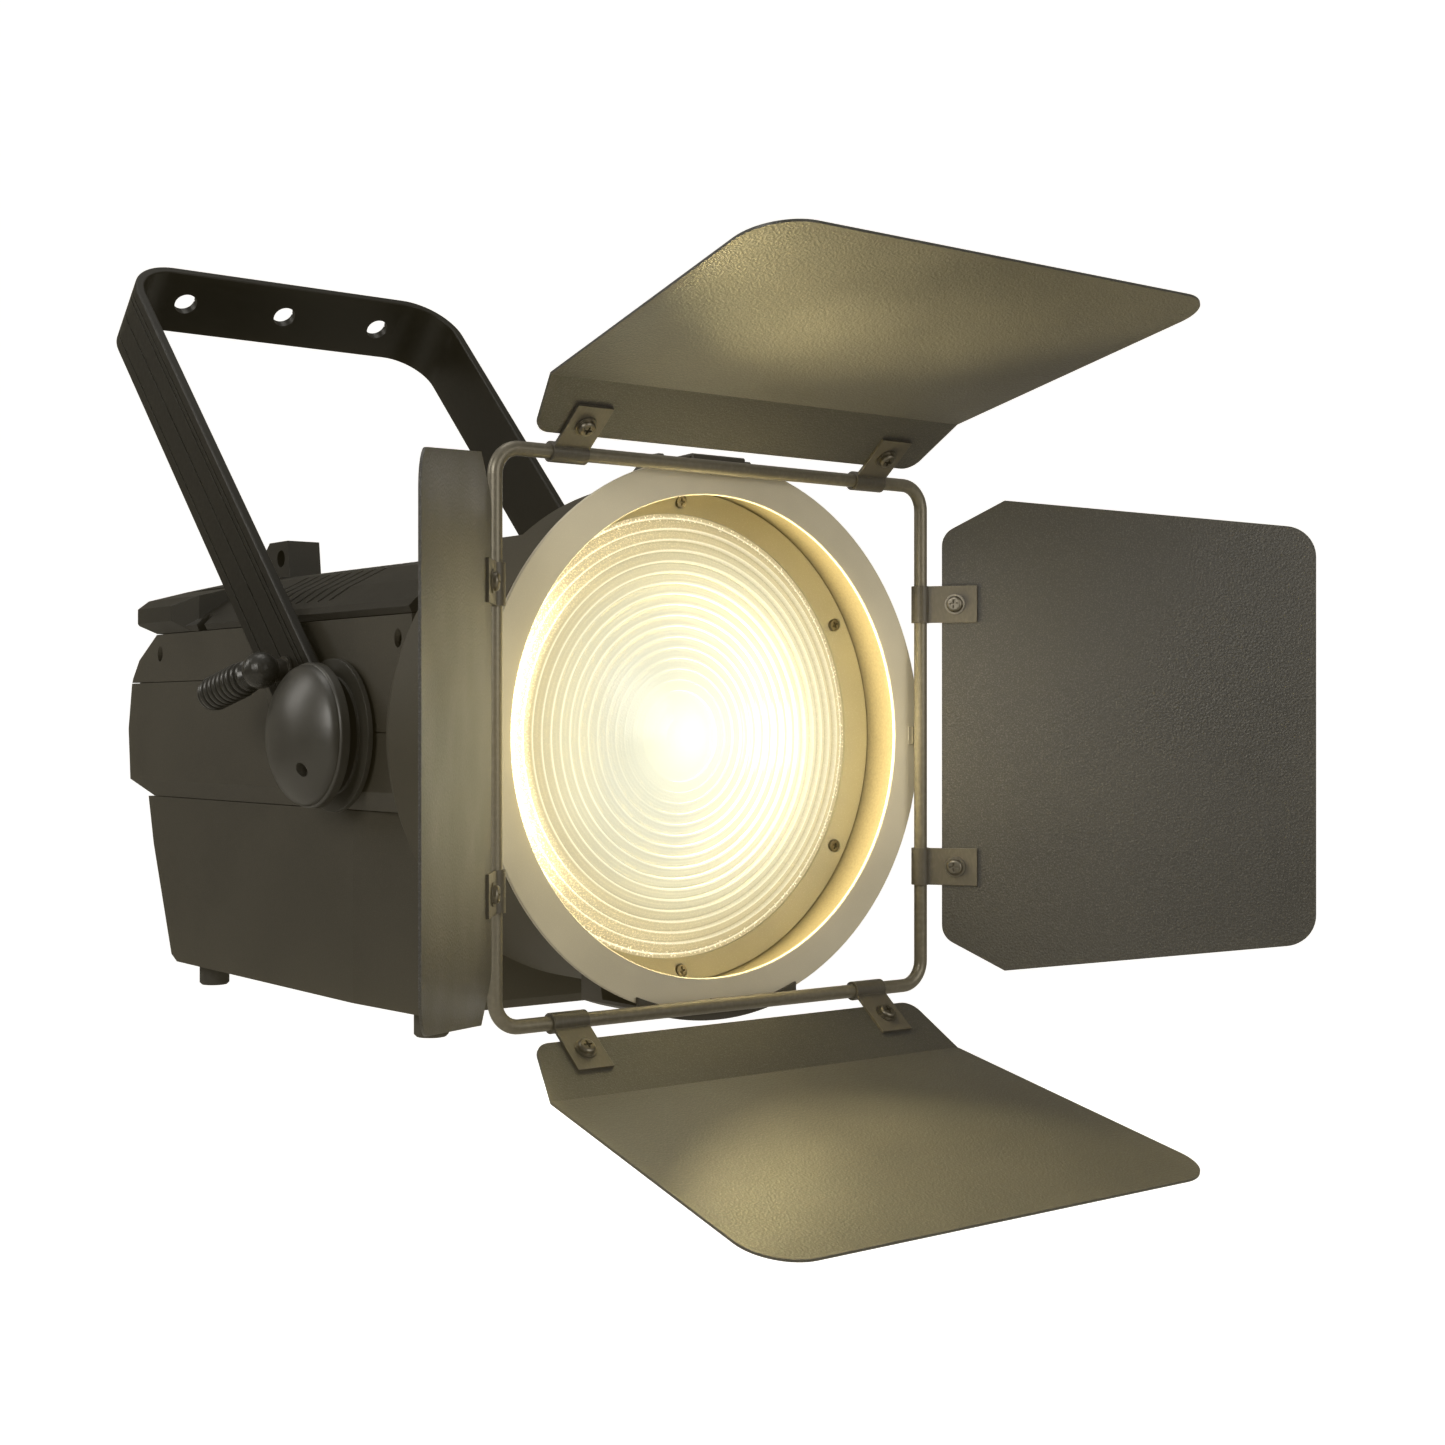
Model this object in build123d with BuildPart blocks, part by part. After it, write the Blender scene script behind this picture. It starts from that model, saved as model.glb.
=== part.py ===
from build123d import *
import os
from math import sin, cos, tan, radians, degrees, sqrt, atan2, hypot

# Studio fresnel spotlight: a lamp head with a round lens, held between the arms of a leaning yoke,
# with a turning four-leaf barn door in front.
# Row frame: origin at the centre hole of the yoke crossbar, +Z up, +X to the right seen from the
# front, the beam points along -Y.  Millimetres.

os.makedirs("parts", exist_ok=True)

# ------------------------------------------------------------------ driving dimensions
ARM = 350.5              # tilt axis to mid-plane of the crossbar
LEAN = radians(45)       # the yoke leans back from vertical
STRAP_W = 40.0           # yoke strap width
STRAP_T = 5.0            # yoke strap thickness
YOKE_HALF = 103.0        # outer half width of the yoke
YOKE_BEND = 30.0         # outer bend radius
HOLE_R = 6.5             # crossbar holes
HOLE_PITCH = 61.5

PIV = 178.0              # tilt axis behind the barn-door wire
BODY_HALF = 90.0         # half width of the upper casing
BASE_HALF = 85.0         # half width of the base casing
WALL = 2.5
DRUM_R = 112.0           # outer radius of the front drum
TUBE_R = 108.5           # inner radius of the front drum
LENS_R = 100.7           # lens outer radius
LENS_SHOW = 98.0         # lens radius left free by the retainer
LENS_SCREW_R = 103.2     # pitch radius of the six retainer screws

WIRE_HALF = 115.0        # half width of the wire frame, to the wire's centre line
WIRE_R = 3.0
WIRE_BEND = 11.0
RING_OR = 119.3
RING_IR = 104.0
CREASE = 39.6            # wire centre to the crease of a bent leaf
PANEL = 145.6            # crease to far edge of a bent leaf
BENT_REST = 39.0         # bent leaf: flange angle from straight ahead at rest
BENT = 26.0              # bend of the leaf at its crease
SIDE_REST_R = 35.8       # right leaf angle from straight ahead at rest
SIDE_REST_L = 38.9
CLIP_R = 3.06            # clip bore, running on the wire
LUG_W = 20.0             # safety lug width and hole place
LUG_Y, LUG_Z = 408.0, 101.5
LEVER_UP = 43.5          # tilt axis to the lock lever's stud, along the arm

S, C = sin(LEAN), cos(LEAN)
PY, PZ = -ARM * S, -ARM * C            # tilt axis
AY, AZ = PY - PIV, PZ                  # beam axis at the wire frame's plane


# ------------------------------------------------------------------ reference planes
def front(y):
    """Plane across the beam, y behind the wire frame; local x = X, local y = Z, extrudes forward."""
    return Plane(origin=(0, AY + y, AZ), x_dir=(1, 0, 0), z_dir=(0, -1, 0))


def side(x):
    """Plane across X; local x = Y measured from the wire frame, local y = Z from the beam axis."""
    return Plane(origin=(x, AY, AZ), x_dir=(0, 1, 0), z_dir=(1, 0, 0))


def level(z):
    """Horizontal plane z above the beam axis; local x = X, local y = Y from the wire frame."""
    return Plane(origin=(0, AY, AZ + z), x_dir=(1, 0, 0), z_dir=(0, 0, 1))


def arm_side(x):
    """Plane across X at the tilt axis; local x runs up the yoke arm, local y towards its front edge."""
    return Plane(origin=(x, PY, PZ), x_dir=(0, S, C), z_dir=(1, 0, 0))


BEAM = Axis((0, AY, AZ), (0, 1, 0))
YOKE = Plane(origin=(0, PY, PZ), x_dir=(1, 0, 0), z_dir=(0, -C, S))


def save(name, builder):
    builder.part.label = name
    export_step(builder.part, f"parts/{name}.step")


# ================================================================== yoke
# U-shaped strap with fine grooves along its outer face, swept along its bent path.
with BuildPart() as yoke_bracket:
    m = YOKE_HALF - STRAP_T / 2
    with BuildLine(YOKE) as yoke_path:
        FilletPolyline((-m, -20), (-m, ARM), (m, ARM), (m, -20), radius=YOKE_BEND - STRAP_T / 2)
    sec = Plane(origin=YOKE.from_local_coords((-m, -20, 0)), x_dir=(1, 0, 0), z_dir=(0, S, C))
    with BuildSketch(sec):
        RectangleRounded(STRAP_T, STRAP_W, 0.8)
        with Locations((-STRAP_T / 2, 13.2), (-STRAP_T / 2, 0), (-STRAP_T / 2, -11.4), (-STRAP_T / 2, -14.6)):
            Rectangle(1.4, 0.9, mode=Mode.SUBTRACT)
    sweep()
    # round ends of the arms
    with BuildSketch(arm_side(-YOKE_HALF - 2)):
        with Locations((-15, 0)):
            Rectangle(30, 44)
        Circle(20, mode=Mode.SUBTRACT)
    extrude(amount=2 * YOKE_HALF + 4, mode=Mode.SUBTRACT)
    # bores for the tilt bushes, and the lock stud's hole in the left arm
    with BuildSketch(arm_side(-YOKE_HALF - 2)):
        Circle(8)
    extrude(amount=2 * YOKE_HALF + 4, mode=Mode.SUBTRACT)
    with BuildSketch(arm_side(-YOKE_HALF - 2)):
        with Locations((LEVER_UP, 0)):
            Circle(4.08)
    extrude(amount=10, mode=Mode.SUBTRACT)
    # three mounting holes in the crossbar
    with BuildSketch(Plane(origin=(0, -5 * S, -5 * C), x_dir=(1, 0, 0), z_dir=(0, S, C))):
        with Locations((-HOLE_PITCH, 0), (0, 0), (HOLE_PITCH, 0)):
            Circle(HOLE_R)
    extrude(amount=10, mode=Mode.SUBTRACT)
save("yoke_bracket", yoke_bracket)

# flanged bushes in the ends of the arms
with BuildPart() as yoke_bushes:
    for s in (-1, 1):
        with BuildSketch(arm_side(s * YOKE_HALF)):
            Circle(8)
            Circle(5.06, mode=Mode.SUBTRACT)
        extrude(amount=-s * STRAP_T)
        with BuildSketch(arm_side(s * (YOKE_HALF - STRAP_T))):
            Circle(11)
            Circle(5.06, mode=Mode.SUBTRACT)
        extrude(amount=-s * 0.8)
save("yoke_bushes", yoke_bushes)


def pivot_plate(s):
    """Round backing plate on the outside of an arm, with a pocket for the bolt's head."""
    with BuildPart() as b:
        with BuildSketch(arm_side(s * YOKE_HALF)):
            Circle(34)
        extrude(amount=s * 5)
        rim = b.edges().filter_by(GeomType.CIRCLE).sort_by(Axis.X)[-1 if s > 0 else 0]
        fillet(rim, 1.4)
        with BuildSketch(arm_side(s * YOKE_HALF)):
            Circle(12)
        extrude(amount=s * 5, mode=Mode.SUBTRACT)
    return b


def pivot_cap(s):
    """Domed cover over the tilt bolt, hollow in the middle, with a recessed screw hole."""
    x0 = s * (YOKE_HALF + 5)
    with BuildPart() as b:
        with BuildSketch(Plane(origin=(x0, PY, PZ), x_dir=(s, 0, 0), z_dir=(0, 0, s))):
            with BuildLine():
                Line((0, 0), (14.5, 0))
                Spline((14.5, 0), (13.3, 13), (9.2, 24), (4.2, 31), (0, 33), tangents=((0, 1), (-1, 0.12)))
                Line((0, 33), (0, 0))
            make_face()
        revolve(axis=Axis((x0, PY, PZ), (s, 0, 0)))
        with BuildSketch(arm_side(x0)):
            Circle(12)
        extrude(amount=s * 4.5, mode=Mode.SUBTRACT)
        with BuildSketch(arm_side(x0 + s * 5.5)):
            with Locations((-22, 0)):
                Circle(3.2)
        extrude(amount=s * 20, mode=Mode.SUBTRACT)
        with BuildSketch(arm_side(x0)):
            with Locations((-22, 0)):
                Circle(1.75)
        extrude(amount=s * 7, mode=Mode.SUBTRACT)
    return b


with BuildPart() as pivot_plates:
    add(pivot_plate(-1).part)
    add(pivot_plate(1).part)
save("pivot_plates", pivot_plates)

with BuildPart() as pivot_caps:
    add(pivot_cap(-1).part)
    add(pivot_cap(1).part)
save("pivot_caps", pivot_caps)

# one countersunk-style screw holds each cap to its plate
with BuildPart() as pivot_cap_screws:
    for s in (-1, 1):
        x0 = s * (YOKE_HALF + 5)
        with BuildSketch(arm_side(x0)):
            with Locations((-22, 0)):
                Circle(1.7)
        extrude(amount=s * 5.5)
        with BuildSketch(arm_side(x0 + s * 5.5)):
            with Locations((-22, 0)):
                Circle(2.9)
        extrude(amount=s * 2.2)
        with BuildSketch(arm_side(x0 + s * 7.7)):
            with Locations((-22, 0)):
                Rectangle(3.6, 0.8)
                Rectangle(0.8, 3.6)
        extrude(amount=-s * 1.2, mode=Mode.SUBTRACT)
save("pivot_cap_screws", pivot_cap_screws)

# clamp shoe on the inside of the left arm; its jaws straddle the rim of the tilt disc
with BuildPart() as tilt_lock_shoe:
    with BuildSketch(arm_side(-YOKE_HALF + STRAP_T)):
        with Locations((LEVER_UP - 1.5, 0)):
            RectangleRounded(23, 22, 3)
    extrude(amount=6.6)
    with BuildSketch(arm_side(-95.6)):
        Circle(37)
    extrude(amount=3.4, mode=Mode.SUBTRACT)
    with BuildSketch(arm_side(-YOKE_HALF)):
        with Locations((LEVER_UP, 0)):
            Circle(4.08)
    extrude(amount=15, mode=Mode.SUBTRACT)
save("tilt_lock_shoe", tilt_lock_shoe)

# ------------------------------------------------------------------ tilt lock lever
with BuildPart() as lock_lever_stud:
    with BuildSketch(arm_side(-109.5)):
        with Locations((LEVER_UP, 0)):
            Circle(4)
    extrude(amount=17.5)
    with BuildSketch(arm_side(-103.3)):
        with Locations((LEVER_UP, 0)):
            Circle(7)
    extrude(amount=-1.6)
    with BuildSketch(arm_side(-104.9)):
        with Locations((LEVER_UP, 0)):
            Circle(5.6)
    extrude(amount=-4.6)
    chamfer(lock_lever_stud.faces().sort_by(Axis.X)[-1].edges(), 0.8)
save("lock_lever_stud", lock_lever_stud)

LEV = Vector(-116.5, PY + LEVER_UP * S, PZ + LEVER_UP * C)
LDIR = Vector(-5.0, 40.0, -10.4).normalized()
with BuildPart() as lock_lever_grip:
    grip_plane = Plane(origin=LEV, x_dir=(1, 0, 0.0), z_dir=LDIR)
    # ball end, waist and a ribbed barrel, turned about the handle's own axis
    with BuildSketch(Plane(origin=LEV, x_dir=grip_plane.x_dir, z_dir=grip_plane.x_dir.cross(LDIR))):
        with BuildLine():
            pts = [(0, -8.8)]
            arc = [(8.8 * sin(radians(a)), -8.8 * cos(radians(a))) for a in range(0, 150, 10)][1:]
            pts += arc
            z = arc[-1][1] + 1.6
            r0 = 7.0
            pts.append((r0, z))
            n = 9
            for i in range(n):
                r1 = r0 + (8.4 - r0) * min(1, (i + 1) / 3)
                pts += [(r1, z + 0.5), (r1 + 0.25, z + 1.6), (r1, z + 2.7), (r1 - 1.5, z + 3.1), (r1 - 1.5, z + 3.6)]
                z += 3.95
            pts += [(7.4, z), (7.8, z + 1.2), (7.2, z + 2.6), (5.6, z + 3.5), (0, z + 4.0)]
            Polyline(*pts, close=True)
        make_face()
    revolve(axis=Axis(LEV, LDIR))
    # neck to the stud
    with BuildSketch(arm_side(-109.5)):
        with Locations((LEVER_UP, 0)):
            Circle(5.6)
    extrude(amount=-5)
    with BuildSketch(arm_side(-120)):
        with Locations((LEVER_UP, 0)):
            Circle(5.6)
    extrude(amount=5)
    with BuildSketch(arm_side(-109.5)):
        with Locations((LEVER_UP, 0)):
            Circle(20)
    extrude(amount=12, mode=Mode.SUBTRACT)
save("lock_lever_grip", lock_lever_grip)

# ================================================================== head: tilt joint
with BuildPart() as tilt_discs:
    for s in (-1, 1):
        with BuildSketch(arm_side(s * BODY_HALF)):
            Circle(28)
        extrude(amount=s * 6.4)
        with BuildSketch(arm_side(s * 92.6)):
            Circle(36)
        extrude(amount=s * 2.5)
    with BuildSketch(arm_side(-100)):
        Circle(5.0)
    extrude(amount=200, mode=Mode.SUBTRACT)
save("tilt_discs", tilt_discs)

with BuildPart() as tilt_bolts:
    for s in (-1, 1):
        with BuildSketch(arm_side(s * 103.4)):
            Circle(5.0)
        extrude(amount=-s * 26)
        with BuildSketch(arm_side(s * 103.4)):
            Circle(8.5)
        extrude(amount=s * 6)
        with BuildSketch(arm_side(s * 109.4)):
            RegularPolygon(4, 6)
        extrude(amount=-s * 3.5, mode=Mode.SUBTRACT)
save("tilt_bolts", tilt_bolts)

# steel chassis inside the casing: side cheeks that take the tilt bolts, joined by a floor,
# with a cross plate at each end for the zoom rods
ROD_X, ROD_Z, ROD_R = 66.0, 26.0, 4.0
SCREW_X, SCREW_Z = 66.0, -8.0
with BuildPart() as chassis:
    with BuildSketch(front(332)):
        with BuildLine():
            Polyline((-83.5, 28), (-83.5, -31.5), (83.5, -31.5), (83.5, 28), (80.5, 28), (80.5, -28.5), (-80.5, -28.5), (-80.5, 28), close=True)
        make_face()
    extrude(amount=212)
    for y in (123, 332):
        with BuildSketch(front(y)):
            with Locations((0, -2)):
                Rectangle(163, 58)
            with Locations((0, 3)):
                Rectangle(150, 66)
            with Locations((0, 8)):
                Rectangle(112, 46, mode=Mode.SUBTRACT)
        extrude(amount=3)
    with BuildSketch(front(340)):
        with Locations((-ROD_X, ROD_Z), (ROD_X, ROD_Z)):
            Circle(ROD_R)
        with Locations((SCREW_X, SCREW_Z)):
            Circle(3.06)
    extrude(amount=225, mode=Mode.SUBTRACT)
    with BuildSketch(arm_side(-100)):
        Circle(5.0)
    extrude(amount=200, mode=Mode.SUBTRACT)
save("chassis", chassis)

# ================================================================== head: front drum and lens
with BuildPart() as front_drum:
    with BuildSketch(side(0)):
        with BuildLine():
            Polyline((8, TUBE_R), (8, 111), (9, DRUM_R), (92, DRUM_R), (95, 110.5), (110.5, 103), (110.5, 76),
                     (107.5, 76), (107.5, 100), (94, 106.5), (43, 108), (43, 104), (41.6, 102.5), (41.6, 97.5),
                     (38.6, 97.5), (38.6, TUBE_R), close=True)
        make_face()
    revolve(axis=BEAM)
    # shallow groove round the drum behind its front rim
    with BuildSketch(side(0)):
        with Locations((22, DRUM_R)):
            Rectangle(1.2, 1.2)
    revolve(axis=BEAM, mode=Mode.SUBTRACT)
    # flat top behind the front rim, closed by a roof plate and a segment wall
    with BuildSketch(level(86)):
        with Locations((0, 80)):
            Rectangle(240, 64)
    extrude(amount=40, mode=Mode.SUBTRACT)
    with BuildSketch(level(83.5)):
        Polygon(*[(-69, 46), (69, 46), (69, 92), (54, 110.5), (-54, 110.5), (-69, 92)], align=None)
    extrude(amount=2.5)
    with BuildSketch(front(48)):
        Circle(110)
        with Locations((0, -36.5)):
            Rectangle(240, 240, mode=Mode.SUBTRACT)
    extrude(amount=2.5)
save("front_drum", front_drum)

# stepped lens: 16 sloping rings round a domed centre, on a flat-backed disc
with BuildPart() as fresnel_lens:
    with BuildSketch(side(0)):
        with BuildLine():
            pts = [(38.4, 0), (30.4, 0), (30.8, 8), (31.8, 14), (33.4, 20)]
            n, r = 16, 20.0
            step = (LENS_SHOW - 2.5 - 20.0) / n
            for i in range(n):
                top = 31.6
                pts.append((top, r + 0.35))
                r += step
                pts.append((top + 1.2 + 1.8 * (i + 1) / n, r))
            pts += [(34.8, r + 0.6), (34.8, LENS_R), (38.4, LENS_R)]
            Polyline(*pts, close=True)
        make_face()
    revolve(axis=BEAM)
save("fresnel_lens", fresnel_lens)

# conical ring that clamps the lens edge against the ledge in the drum
with BuildPart() as lens_retainer:
    with BuildSketch(side(0)):
        with BuildLine():
            Polyline((29.4, TUBE_R - 0.4), (33.4, LENS_SHOW), (34.6, LENS_SHOW), (34.6, LENS_R + 0.3), (38.4, LENS_R + 0.3),
                     (38.4, TUBE_R - 0.4), close=True)
        make_face()
    revolve(axis=BEAM)
    with BuildSketch(front(40)):
        with PolarLocations(LENS_SCREW_R, 6, start_angle=-90):
            Circle(1.6)
    extrude(amount=12, mode=Mode.SUBTRACT)
    # spot-faces under the screw heads
    with BuildSketch(front(32.6)):
        with PolarLocations(LENS_SCREW_R, 6, start_angle=-90):
            Circle(3.0)
    extrude(amount=6, mode=Mode.SUBTRACT)
save("lens_retainer", lens_retainer)

with BuildPart() as lens_retainer_screws:
    with BuildSketch(front(38.6)):
        with PolarLocations(LENS_SCREW_R, 6, start_angle=-90):
            Circle(1.5)
    extrude(amount=6.0)
    with BuildSketch(front(32.6)):
        with PolarLocations(LENS_SCREW_R, 6, start_angle=-90):
            Circle(2.6)
    extrude(amount=1.9)
    with BuildSketch(front(30.7)):
        with PolarLocations(LENS_SCREW_R, 6, start_angle=-90):
            Rectangle(3.2, 0.8)
            Rectangle(0.8, 3.2)
    extrude(amount=-1, mode=Mode.SUBTRACT)
save("lens_retainer_screws", lens_retainer_screws)

# ------------------------------------------------------------------ accessory holders round the front rim
with BuildPart() as lower_holder:
    with BuildSketch(side(0)):
        Polygon(*[(3.7, 117), (3.7, 121.8), (46, 121.8), (46, DRUM_R), (32, DRUM_R), (30, 120.3), (5.1, 120.3), (5.1, 117)], align=None)
    revolve(axis=BEAM)
    with BuildSketch(front(60)):
        with Locations((0, -110)):
            Rectangle(86, 60)
    extrude(amount=60, mode=Mode.INTERSECT)
    # two screw holes in the foot
    with BuildSketch(level(-130)):
        with Locations((-30, 39), (30, 39)):
            Circle(2.2)
    extrude(amount=20, mode=Mode.SUBTRACT)
save("lower_holder", lower_holder)

# saddle on top of the drum with two ears that carry the latch pin
PIN_Y, PIN_Z = 19.0, 117.8
with BuildPart() as latch_bracket:
    with BuildSketch(side(-25)):
        Polygon(*[(10, 100), (10, 117), (14, 121), (24, 121), (34, 114.3), (34, 100)], align=None)
    extrude(amount=50)
    with BuildSketch(side(-22.5)):
        Polygon(*[(9, 114.2), (9, 124), (36, 124), (36, 114.2)], align=None)
    extrude(amount=45, mode=Mode.SUBTRACT)
    with BuildSketch(front(40)):
        Circle(DRUM_R)
    extrude(amount=39, mode=Mode.SUBTRACT)
    with BuildSketch(side(-26)):
        with Locations((PIN_Y, PIN_Z)):
            Circle(1.5)
    extrude(amount=52, mode=Mode.SUBTRACT)
save("latch_bracket", latch_bracket)

with BuildPart() as latch_pin:
    with BuildSketch(side(-25.6)):
        with Locations((PIN_Y, PIN_Z)):
            Circle(1.5)
    extrude(amount=51.2)
save("latch_pin", latch_pin)

# latch plate rolled round the pin, reaching forward over the ring and hooked down in front of it
with BuildPart() as accessory_latch:
    with BuildSketch(side(-14)):
        with Locations((PIN_Y, PIN_Z)):
            Circle(2.6)
        Polygon(*[(19, 120.4), (4.6, 120.9), (3.7, 120.2), (3.7, 116.0), (5.1, 116.0), (5.1, 119.7), (19, 119.2)], align=None)
        with Locations((PIN_Y, PIN_Z)):
            Circle(1.56, mode=Mode.SUBTRACT)
    extrude(amount=28)
    with BuildSketch(front(7)):
        Circle(117)
    extrude(amount=6, mode=Mode.SUBTRACT)
save("accessory_latch", accessory_latch)

with BuildPart() as latch_spring:
    for i in range(4):
        with BuildSketch(side(14.6 + 1.7 * i)):
            with Locations((PIN_Y, PIN_Z)):
                Circle(2.6)
                Circle(1.7, mode=Mode.SUBTRACT)
        extrude(amount=1.1)
    with BuildSketch(side(14.6)):
        with Locations((PIN_Y, PIN_Z - 2.2)):
            Rectangle(0.8, 0.8)
    extrude(amount=6.2)
save("latch_spring", latch_spring)

# ================================================================== head: casing
SEAM = 28.5              # rear height of the parting line between the two casing halves
SEAM_F = 1.6             # front height of the parting line
GAP = 0.4                # shadow gap at the parting lines


# upper casing: two walls under a roof, open below, slanted and open at the rear
UP_OUT = [(111, SEAM_F), (250, SEAM_F), (262, SEAM), (432.3, SEAM), (431, 31), (422, 41), (397, 54.6), (111, 54.6)]
with BuildPart() as upper_casing:
    with BuildSketch(side(-BODY_HALF)):
        Polygon(*UP_OUT, align=None)
    extrude(amount=2 * BODY_HALF)
    with BuildSketch(side(-BODY_HALF + WALL)):
        Polygon(*[(100, -20), (460, -20), (460, 60), (396, 52.1), (100, 52.1)], align=None)
    extrude(amount=2 * (BODY_HALF - WALL), mode=Mode.SUBTRACT)
    # air openings in the roof below the vented cover
    with BuildSketch(level(50)):
        with Locations((0, 190), (0, 270)):
            Rectangle(130, 60)
    extrude(amount=10, mode=Mode.SUBTRACT)
    # countersunk screw pockets, slanted down from the top edge
    for s in (-1, 1):
        for y in (123.5, 398.5 - 6):
            pocket = Plane(origin=(s * BODY_HALF, AY + y, AZ + 44), x_dir=(0, 1, 0), z_dir=(s * 0.80, 0, 0.60))
            with BuildSketch(pocket.offset(-4)):
                Circle(5.2)
            extrude(amount=-10)
            with BuildSketch(pocket.offset(-6.2)):
                Circle(3.4)
            extrude(amount=22, mode=Mode.SUBTRACT)
            with BuildSketch(pocket):
                Circle(1.5)
            extrude(amount=-20, mode=Mode.SUBTRACT)
    # tilt bolts
    with BuildSketch(side(-100)):
        with Locations((PIV, 0)):
            Circle(5.2)
    extrude(amount=200, mode=Mode.SUBTRACT)
save("upper_casing", upper_casing)

# lower casing: belt round the middle of the head, chamfered in to the base
with BuildPart() as lower_casing:
    with BuildSketch(front(440)):
        with BuildLine():
            Polyline((-BODY_HALF, 30), (-BODY_HALF, -26), (-BASE_HALF, -35), (BASE_HALF, -35), (BODY_HALF, -26), (BODY_HALF, 30), close=True)
        make_face()
    extrude(amount=440 - 111)
    with BuildSketch(front(450)):
        with BuildLine():
            Polyline((-BODY_HALF + WALL, 40), (-BODY_HALF + WALL, -25), (-BASE_HALF + 1.8, -32.9), (BASE_HALF - 1.8, -32.9),
                     (BODY_HALF - WALL, -25), (BODY_HALF - WALL, 40), close=True)
        make_face()
    extrude(amount=450 - 105, mode=Mode.SUBTRACT)
    # rear outline
    with BuildSketch(side(-100)):
        Polygon(*[(432.6, SEAM), (437.8, 2.5), (435.2, -26), (412, -35.2), (412, -50), (480, -50), (480, 60), (425, 60)], align=None)
    extrude(amount=200, mode=Mode.SUBTRACT)
    # parting line with the upper casing
    with BuildSketch(side(-100)):
        Polygon(*[(100, SEAM_F - GAP), (250, SEAM_F - GAP), (262, SEAM - GAP), (470, SEAM - GAP), (470, 70), (100, 70)], align=None)
    extrude(amount=200, mode=Mode.SUBTRACT)
    # light path and cable pass in the floor
    with BuildSketch(level(-40)):
        with Locations((0, 370)):
            Rectangle(90, 40)
    extrude(amount=12, mode=Mode.SUBTRACT)
    with BuildSketch(side(-100)):
        with Locations((PIV, 0)):
            Circle(5.2)
    extrude(amount=200, mode=Mode.SUBTRACT)
save("lower_casing", lower_casing)

# base casing: box under the head for the power supply, sloping rear
BASE_PTS = [(114, -35.4), (421, -35.4), (413.7, -62), (388.8, -122), (381.4, -125.5), (118, -126.5), (114, -122)]
BASE_FRONT = 79.5        # half width at the front, where the sides taper in
with BuildPart() as base_hollow:
    with BuildSketch(side(-BASE_HALF + WALL)):
        Polygon(*[(116.5, -30), (418, -30), (411.2, -61.5), (387, -119.6), (380.5, -122.6), (120, -123.6), (116.5, -121)], align=None)
    extrude(amount=2 * (BASE_HALF - WALL))
    with BuildSketch(level(-130)):
        Polygon(*[(-BASE_HALF + WALL, 176), (-BASE_HALF + WALL, 430), (BASE_HALF - WALL, 430), (BASE_HALF - WALL, 176), (BASE_FRONT - WALL, 114), (-BASE_FRONT + WALL, 114)], align=None)
    extrude(amount=110, mode=Mode.INTERSECT)
with BuildPart() as base_casing:
    with BuildSketch(side(-BASE_HALF)):
        Polygon(*BASE_PTS, align=None)
    extrude(amount=2 * BASE_HALF)
    fillet(base_casing.edges().filter_by(Axis.X).group_by(Axis.Z)[0], 2)
    with BuildSketch(level(-130)):
        Polygon(*[(-BASE_HALF, 176), (-BASE_HALF, 430), (BASE_HALF, 430), (BASE_HALF, 176), (BASE_FRONT, 114), (-BASE_FRONT, 114)], align=None)
    extrude(amount=110, mode=Mode.INTERSECT)
    add(base_hollow.part, mode=Mode.SUBTRACT)
    # cut-outs for the sockets on the sloping rear wall
    rear_low = Plane(origin=(0, AY + 401.2, AZ - 92.0), x_dir=(-1, 0, 0), z_dir=(0, 0.9236, -0.3834))
    with BuildSketch(rear_low.offset(-12)):
        with Locations((-50, 6), (12, 6), (50, 6)):
            Circle(12.2)
        with Locations((-20, 6)):
            Circle(6.2)
    extrude(amount=24, mode=Mode.SUBTRACT)
save("base_casing", base_casing)

with BuildPart() as feet:
    for x in (-68, 68):
        for y in (132, 370):
            with BuildSketch(level(-138)):
                with Locations((x, y)):
                    Circle(8)
            extrude(amount=11.4)
    chamfer(feet.faces().group_by(Axis.Z)[0].edges(), 1.2)
    fillet(feet.faces().group_by(Axis.Z)[-1].edges(), 0.8)
save("feet", feet)

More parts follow.
